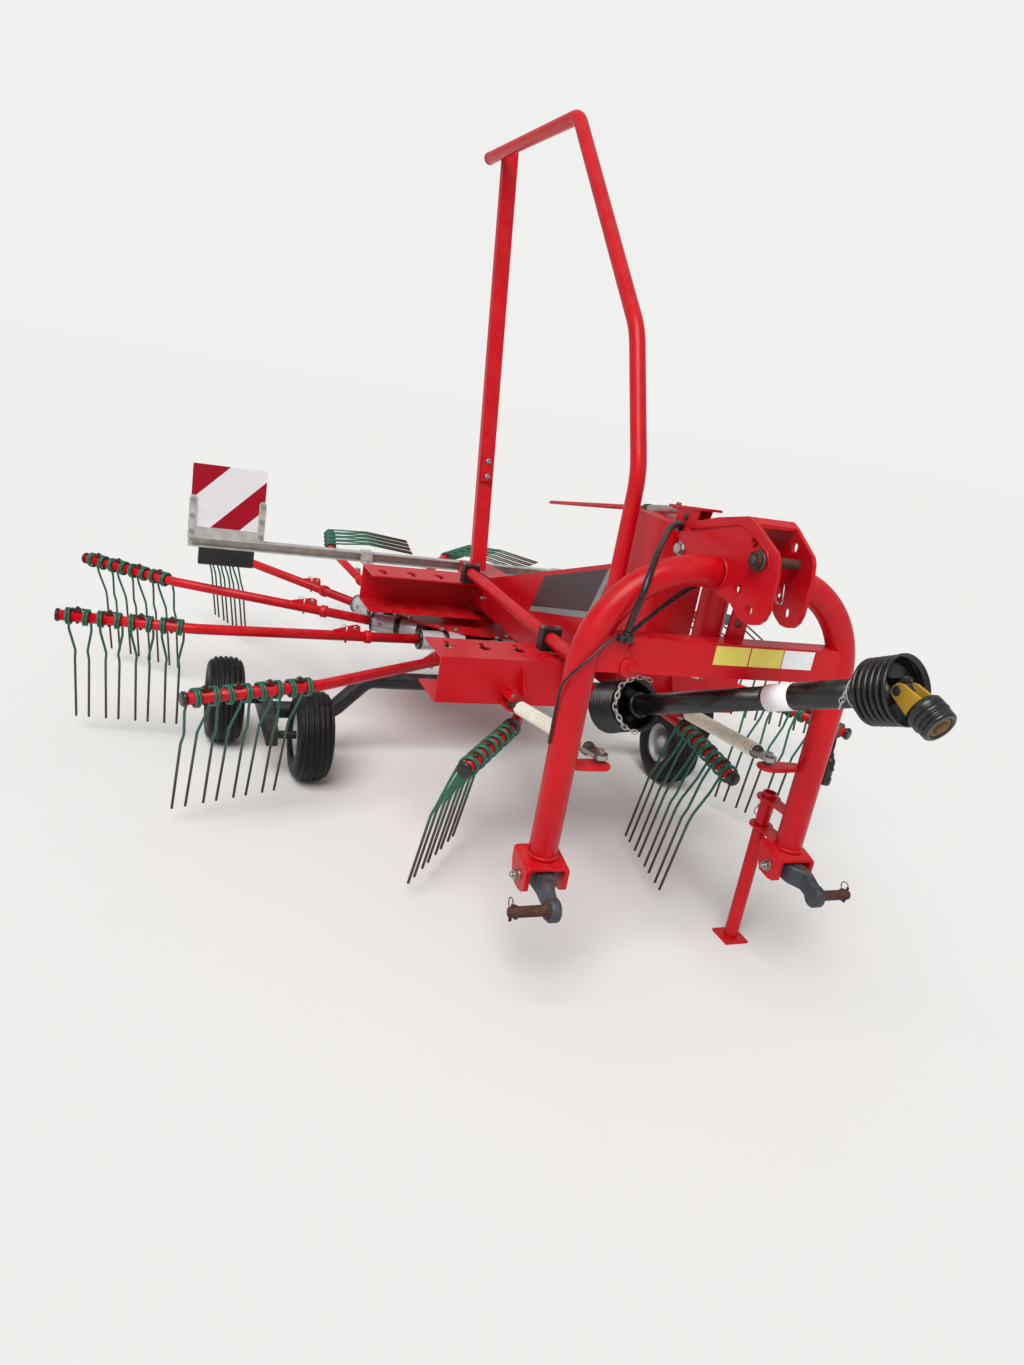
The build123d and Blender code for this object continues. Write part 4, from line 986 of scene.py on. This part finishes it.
class RAKE_OT_headstock(Step):
    """Bolts, blank plates, folded edges, pins and weld beads of the headstock"""

    bl_idname = "rake.headstock"
    bl_label = "Headstock details"

    def build(self):
        head = Form()
        # painted bolts of the crossbeam's end, the lower one on a round plate
        bolt(head, (BEAM_FACE, -0.275, 0.966), X, 0.009)
        washer = mm((0, 0), (25, 0), (25, 4), (23.5, 5.5), (0, 5.5))
        turn(head, washer, (BEAM_FACE, -0.272, 0.914), X, 36)
        bolt(head, (1.9205, -0.272, 0.916), X, 0.009)
        # slotted plate that stands behind the crossbeam
        slab(head, [(0.02, 0.99), (0.075, 0.99), (0.075, 1.12), (0.03, 1.125)], 1.85, 1.858, 0, X)
        for z in (1.03, 1.075):
            pipe(head, 0.005, 0.0105, 0, 0.0015, (1.858, 0.048, z), X, 20, 4)
        # blank plates on the crossbeam's front: y from, y to, finish
        for low, high, finish in ((-0.04, 0.062, 2), (0.066, 0.164, 2), (0.167, 0.262, 3)):
            outline = [(low, 0.935), (high, 0.935), (high, 0.984), (low, 0.984)]
            slab(head, outline, 1.9151, 1.9157, finish, X)
        # pivot bolts, rings and pressed lines of the head plates, which draw together towards the front; the
        # dark rings round the pin are painted shade for the hollow of each plate's large hole
        ring = mm((12.8, 0), (23.5, 0), (24.5, 1), (24.5, 5), (22.5, 7), (12.8, 7))
        line = mm((1748, 1236), (1935, 1290), (1975, 1279), (2040, 1246), (2062, 1214))
        for sign in (-1, 1):
            slant = unit((PLATE_SLOPE, sign, 0.0))
            bolt(head, plate_point(1.726, sign, 1.181), slant, 0.0165, 1)
            # painted shade: a dark steel ring fills the large hole round the pin and stands for its shaded
            # hollow
            turn(head, ring, plate_point(PIN[0], sign, PIN[2]), slant, 36, 4)
            ridge = bent([plate_point(x, sign, z) for x, z in line], [0.05, 0.03, 0.02])
            carry(head, circle(0.003, 8), ridge, Y)
            # painted shade: a thin black disc on each head plate stands for the shaded inside of its small hole
            pipe(head, 0, 0.007, 0.0003, 0.0006, plate_point(1.891, sign, 1.198), slant, 20, 5)
            # weld ring where the tube meets the head plate
            spot = plate_point(1.885, sign, 1.16) + Y * sign * 0.001
            wire_ring(head, spot, unit((1, -sign * PLATE_SLOPE, 0)), Z, 0.0385, 0.009, 0, 8, 60)
        # end cap and ring of the top-link pin, and the bright wire clip that hangs from it
        cap = mm((0, 0), (11.8, 0), (11.8, 3), (9, 5), (0, 5))
        turn(head, cap, PIN - Y * 0.076, -Y, 24, 4)
        ring = Z * 0.022 + Y * 0.006
        locking_pin(head, PIN + Y * 0.066, Z, (-0.022, 0.025), 0.0042, ring, (X, Z), 0.014, 0.003, 1)
        clip = mm((2046, -22, 1186), (2058, -14, 1140), (2058, 6, 1132), (2050, 4, 1180))
        carry(head, circle(0.0022, 8), bent(clip, [0.006, 0.006], 0.003), Z + X, 1)
        finishes = ["red_paint", "bright_steel", "label_yellow", "label_white", "dark_steel", "guard_plastic"]
        make("headstock_details", "headstock", head, finishes)


class RAKE_OT_legs(Step):
    """Bent tubes of the arch, each with its damper lug and the open fork of its hitch arm"""

    bl_idname = "rake.legs"
    bl_label = "Arch tubes"

    def build(self):
        # half of the fork's outline, of an inverted U with rounded shoulders
        turned = np.linspace(0, np.pi / 2, 7)
        outer = np.stack([0.74 + 0.26 * np.sin(turned), 0.64 + 0.36 * np.cos(turned)], 1)
        inner = np.stack([0.68 + 0.1 * np.cos(turned), 0.58 + 0.14 * np.sin(turned)], 1)
        half = np.concatenate([outer, [(1, -1), (0.78, -1)], inner])
        strap = np.concatenate([half, half[::-1] * (-1, 1)])[::-1]
        # x, z of the fork's middle, half its height
        fork = mm(
            (1838, 381, 17), (1848, 367.5, 32.5), (1862, 355, 45), (1905, 348, 43), (1925, 347.5, 38.5),
            (1940, 350, 31),
        )
        tip = (1.857, -0.262) + circle(0.026, 28)[:15]
        lug = np.concatenate([[(1.874, -0.37), (1.883, -0.3)], tip, [(1.831, -0.3), (1.84, -0.37)]])
        for side, sign in SIDES:
            y = -sign * LEG_Y
            leg = Form()
            arch = [(LEG_X, -sign * 0.076, 1.16), (LEG_X, y, 1.16), (LEG_X, y, 0.38)]
            carry(leg, circle(0.038, 44), bent(arch, [0.27]), X)
            # fork: a strap bent over the arm's eye and welded to the tube
            loft(leg, strap, [(x, y, z, 0.06, height) for x, z, height in fork])
            wire_ring(leg, (LEG_X, y, 0.397), X, Y, 0.0385, 0.008, 0, 8, 48)
            # damper lug with its rounded tip and thick rim, and its pin
            plan = lug * (1, sign)
            slab(leg, plan, 0.6265, 0.6365, 0, Z)
            carry(leg, circle(0.0055, 8), np.insert(plan, 2, 0.63, 1), Z)
            pipe(leg, 0, 0.006, -0.014, 0.037, (1.852, -0.262 * sign, 0.6365), Z, 20, 1)
            if side == "left":
                # plates that guide the stand: height, half the width at the leg
                for z, width in ((0.388, 0.03), (0.478, 0.022)):
                    pipe(leg, 0.0215, 0.0355, z, z + 0.008, (STAND_X, y, 0), Z, 40, 0, False, True)
                    web = np.array([(1.778, -0.026), (1.87, -width), (1.87, width), (1.778, 0.026)])
                    slab(leg, web + (0, y), z + 0.001, z + 0.007, 0, Z)
            finishes, replaced = ["red_paint", "bright_steel"], [f"arch_leg_{side}"]
            make(f"arch_tube_{side}", "headstock", leg, finishes, replaced, bevel=0.0015)


class RAKE_OT_hitch(Step):
    """Cast lower hitch arms, bent outwards to their bosses, with their pins and fork bolts"""

    bl_idname = "rake.hitch"
    bl_label = "Lower hitch arms"

    def build(self):
        # a square with its corners cut
        cut = 0.86
        quarter = np.array([(1, -cut), (1, cut), (cut, 1), (-cut, 1)])
        outline = np.concatenate([-quarter, quarter])
        # x, way out from the leg's middle, z, half width, half height
        stations = mm(
            (1851, 0, 336, 25, 20), (1862, 0, 337, 26, 26), (1938, 0, 338, 26, 26),
            (1950, 2, 338.5, 24.5, 26.5), (1974, 13.5, 336, 14, 27), (1992, 14, 331, 13, 26.5),
            (2020, 14.5, 319, 12.5, 25.5),
        )
        boss = mm((0, 0), (26, 0), (31, 4), (31, 25), (27, 29), (0, 29))
        # pin with its shoulder and end ring
        pin = mm(
            (0, 0), (22, 0), (23, 2), (23, 6), (14.3, 8), (14, 80), (17.8, 81), (17.8, 87), (14, 88),
            (14, 99), (12, 102), (0, 102),
        )
        for side, sign in SIDES:
            out = -Y * sign
            hitch = Form()
            placed = stations.copy()
            placed[:, 1] = -sign * (LEG_Y + stations[:, 1])
            loft(hitch, outline, placed)
            turn(hitch, boss, HITCH_EYE + out * 0.384, out, 44)
            turn(hitch, pin, HITCH_EYE + out * 0.4125, out, 32, 1)
            spot, ring = HITCH_EYE + out * 0.507, Z * 0.018 - X * 0.012
            locking_pin(hitch, spot, Z, (-0.024, 0.023), 0.0042, ring, (X, Z), 0.014, 0.0032, 1)
            for way in (-1, 1):
                bolt(hitch, (1.893, -sign * LEG_Y + way * 0.0602, 0.34), Y * way, 0.016, 2, 0.008)
            finishes, replaced = ["dark_cast", "rusty_steel", "bright_steel"], [f"hitch_arm_{side}"]
            make(f"hitch_arm_cast_{side}", "headstock", hitch, finishes, replaced, 0.0016)


# Chosen points of the hose and the leads, and their diameters
ROUTES = [
    ([
        (1.712, -0.082, 1.236), (1.716, -0.104, 1.243), (1.736, -0.136, 1.236), (1.768, -0.162, 1.221),
        (1.806, -0.188, 1.211), (1.868, -0.236, 1.19), (1.928, -0.279, 1.144), (1.944, -0.293, 1.103),
        (1.942, -0.303, 1.058), (1.934, -0.305, 1.02), (1.926, -0.304, 0.992),
    ], 0.0165),
    ([
        (1.922, -0.306, 0.996), (1.926, -0.332, 0.992), (1.931, -0.366, 0.962), (1.935, -0.402, 0.925),
        (1.929, -0.43, 0.893), (1.906, -0.4355, 0.862), (1.89, -0.43, 0.83), (1.885, -0.4275, 0.78),
        (1.885, -0.4275, 0.7),
    ], 0.007),
    ([
        (1.885, 0.4275, 0.89), (1.885, 0.4275, 0.8), (1.885, 0.43, 0.76), (1.885, 0.441, 0.735),
        (1.885, 0.4423, 0.71), (1.885, 0.4423, 0.688),
    ], 0.007),
    ([
        (1.922, -0.296, 0.996), (1.902, -0.248, 1.027), (1.872, -0.196, 1.052), (1.842, -0.14, 1.08),
        (1.812, -0.05, 1.118),
    ], 0.007),
    ([
        (1.922, -0.3, 1.002), (1.904, -0.253, 1.033), (1.874, -0.2, 1.059), (1.842, -0.144, 1.087),
        (1.81, -0.05, 1.126),
    ], 0.006),
]
PAIR = np.array([0.35, 1, -0.5])
# Ties round the lines: place, axis, radius
TIES = [
    ((1.93, -0.305, 1.006), Z, 0.0105), ((1.926, -0.305, 0.99), Y, 0.012),
    ((1.907, -0.258, 1.025), unit(PAIR), 0.0085), ((1.875, -0.201, 1.054), unit(PAIR), 0.0085),
]


class RAKE_OT_lines(Step):
    """Hose over the arch, the leads tied to it and the lead down each leg, with their clip and ties"""

    bl_idname = "rake.lines"
    bl_label = "Hose and leads"

    def build(self):
        lines = Form()
        for points, diameter in ROUTES:
            carry(lines, circle(diameter / 2, 16), smooth(points), (0.3, 1.0, 0.2))
        for spot, axis, radius in TIES:
            first = unit(np.cross(axis, X))
            wire_ring(lines, spot, first, np.cross(axis, first), radius, 0.003, 1)
        # clips on the crossbeam and by the swivel pin
        outline = mm((-322, 982), (-286, 982), (-286, 998), (-322, 998))
        slab(lines, outline, 1.9153, 1.933, 1, X)
        outline = mm((1694, 1222), (1716, 1224), (1716, 1248), (1696, 1248))
        slab(lines, outline, -0.1, -0.0885, 1)
        finishes = ["hose_rubber", "guard_plastic"]
        make("hose_and_leads", "headstock", lines, finishes, ["hose", "leads"])


class RAKE_OT_plug(Step):
    """Plug at the end of the left lead, with its sleeve, ribs and lid"""

    bl_idname = "rake.plug"
    bl_label = "Plug"

    def build(self):
        plug = Form()
        profile = mm(
            (0, 95), (5.5, 95), (7.5, 90), (9.5, 80), (13, 76), (16, 70), (16, 52), (18.2, 50), (18.2, 44),
            (16.5, 42), (16.5, 22), (18.8, 20), (18.8, 4), (17, 0), (0, 0),
        )
        turn(plug, profile, (1.885, 0.4423, 0.595), Z)
        make("plug_shell", "headstock", plug, ["guard_plastic"], ["lead_plug"])


class RAKE_OT_stand(Step):
    """Locking pin of the parking stand"""

    bl_idname = "rake.stand"
    bl_label = "Parking stand"

    def build(self):
        lock = Form()
        spot, ring = np.array([STAND_X, LEG_Y, 0.44]), -X * 0.028 - Z * 0.014
        locking_pin(lock, spot, -X, (0.0, 0.033), 0.006, ring, (Z, Y), 0.015, 0.0032, 0, 12)
        make("stand_pin", "stand", lock, ["bright_steel"])


class RAKE_OT_guard(Step):
    """End cap of the guard hoop and the bolts of its catch"""

    bl_idname = "rake.guard"
    bl_label = "Guard hoop"

    def build(self):
        guard = Form()
        cap = mm((0, 0), (23.5, 0), (23.5, 6), (21, 9), (0, 9))
        turn(guard, cap, (-0.2395, -0.135, 2.3195), (-1, 0, -0.011))
        # bolts on the catch plate of the leg, which leans back
        rise, out = np.array([-0.241, 0, 0.9705]), np.array([0.9705, 0, 0.241])
        catch = np.array([0.161, -0.0845, 1.1495])
        for reach in (-0.03, 0.03):
            bolt(guard, catch + rise * reach + out * 0.012, out, 0.011, 1)
        make("guard_details", "guard", guard, ["guard_plastic", "bright_steel"])


class RAKE_OT_crank(Step):
    """Height spindle: thin red handle rod, galvanised sleeve and the red bracket on the post"""

    bl_idname = "rake.crank"
    bl_label = "Height crank"

    def build(self):
        crank = Form()
        tip, middle, end = np.array([0.655, 0, 1.116]), np.array([1.362, 0, 1.226]), np.array([1.64, 0, 1.272])
        reach = np.linalg.norm(middle - tip)
        handle = [(0, 0), (0.0045, 0), (0.006, 0.006), (0.0085, reach - 0.02), (0.0105, reach), (0, reach)]
        turn(crank, handle, tip, middle - tip, 20, 1)
        along = unit(end - middle)
        low, high = np.linalg.norm(end - middle) * np.array([0.62, 0.68])
        collar = mm((10.5, -14), (13.5, -12), (13.5, 12), (11.5, 14), (0, 14))
        turn(crank, collar, middle, along, 28, 3)
        sleeve = [(0, 0.01), (0.0115, 0.01), (0.0115, low), (0.013, low), (0.013, high), (0, high)]
        turn(crank, sleeve, middle, along, 28)
        # red bracket: a flat cover on two cheeks on the post's top
        cover = mm((1512, 1258), (1516, 1266), (1708, 1288), (1708, 1281))
        slab(crank, cover, -0.023, 0.023, 1)
        cheek = mm((1560, 1230), (1660, 1230), (1672, 1278), (1552, 1264))
        for y in (-0.019, 0.015):
            slab(crank, cheek, y, y + 0.004, 1)
        bolt(crank, (1.526, 0.0, 1.266), Z, 0.009, 2)
        bolt(crank, (1.61, -0.019, 1.248), -Y, 0.009, 3)
        finishes = ["galvanised", "red_paint", "bright_steel", "dark_steel"]
        make("crank", "frame", crank, finishes, ["height_crank"])


class RAKE_OT_rear(Step):
    """Lamp with its coloured lenses, and the bolts and brackets of the rear bar and board"""

    bl_idname = "rake.rear"
    bl_label = "Rear bar, board and lamp"

    def build(self):
        lamp, bolts = Form(), Form()
        low, high, edge = 0.6, 0.67, 0.006
        outline = [
            (-0.1225, low + edge), (-0.1165, low), (-0.0835, low), (-0.0775, low + edge), (-0.0775, high),
            (-0.1225, high),
        ]
        slab(lamp, outline, -1.148, -0.933)
        # rounded lenses on the rear face: y from, y to, finish
        lens = [
            (-0.1295, low + 2 * edge), (-0.1225, low + edge), (-0.1225, high - edge), (-0.1295, high - 2 * edge),
        ]
        for first, last, finish in ((-1.143, -1.08, 2), (-1.078, -1.002, 1), (-1.0, -0.938, 1)):
            slab(lamp, lens, first, last, finish)
        finishes = ["guard_plastic", "lamp_red", "lamp_amber"]
        make("lamp", "frame", lamp, finishes, ["tail_lamp"], 0.002)
        for y in (-1.18, -0.914):
            for z in (0.733, 0.795, 0.858):
                bolt(bolts, (-0.0768, y, z), X, 0.009)
        plate = mm((-124, 676), (-74, 676), (-74, 715), (-124, 715))
        foot = mm((-118, 664), (-70, 664), (-70, 678), (-118, 678))
        for y in (-0.47, 0.43):
            slab(bolts, plate, y - 0.024, y + 0.024, 2)
            slab(bolts, foot, y - 0.018, y + 0.018, 1)
            for x in (-0.04, 0.09):
                bolt(bolts, (x, y, 0.6782), Z, 0.01)
        make("rear_bolts", "frame", bolts, ["bright_steel", "black_steel", "galvanised"])


class RAKE_PT_panel(bpy.types.Panel):
    """Lists the rake's colours, sizes and steps"""

    bl_idname = "RAKE_PT_panel"
    bl_label = "Rotary rake"
    bl_space_type = "VIEW_3D"
    bl_region_type = "UI"
    bl_category = "Rake"

    def draw(self, context):
        for kind, group in (("colours", RakeColours), ("sizes", RakeSizes)):
            for name in group.__annotations__:
                self.layout.prop(getattr(context.scene, f"rake_{kind}"), name)
        for step in STEPS:
            self.layout.operator(step.bl_idname)


STEPS = [
    RAKE_OT_stage, RAKE_OT_paint, RAKE_OT_arms, RAKE_OT_tines, RAKE_OT_hub, RAKE_OT_wheels,
    RAKE_OT_drive, RAKE_OT_dampers, RAKE_OT_frame_details, RAKE_OT_headstock, RAKE_OT_legs, RAKE_OT_hitch,
    RAKE_OT_lines, RAKE_OT_plug, RAKE_OT_stand, RAKE_OT_guard, RAKE_OT_crank, RAKE_OT_rear,
]
CLASSES = [RakeColours, RakeSizes, *STEPS, RAKE_PT_panel]


def register():
    """Registers the classes and puts the colours and sizes on the scene."""
    for kind in CLASSES:
        bpy.utils.register_class(kind)
    bpy.types.Scene.rake_colours = bpy.props.PointerProperty(type=RakeColours)
    bpy.types.Scene.rake_sizes = bpy.props.PointerProperty(type=RakeSizes)


def unregister():
    """Takes back what register() did."""
    del bpy.types.Scene.rake_colours
    del bpy.types.Scene.rake_sizes
    for kind in reversed(CLASSES):
        bpy.utils.unregister_class(kind)


def main():
    """Makes the whole rake."""
    register()
    for step in STEPS:
        group, name = step.bl_idname.split(".")
        getattr(getattr(bpy.ops, group), name)()


if __name__ == "__main__":
    main()
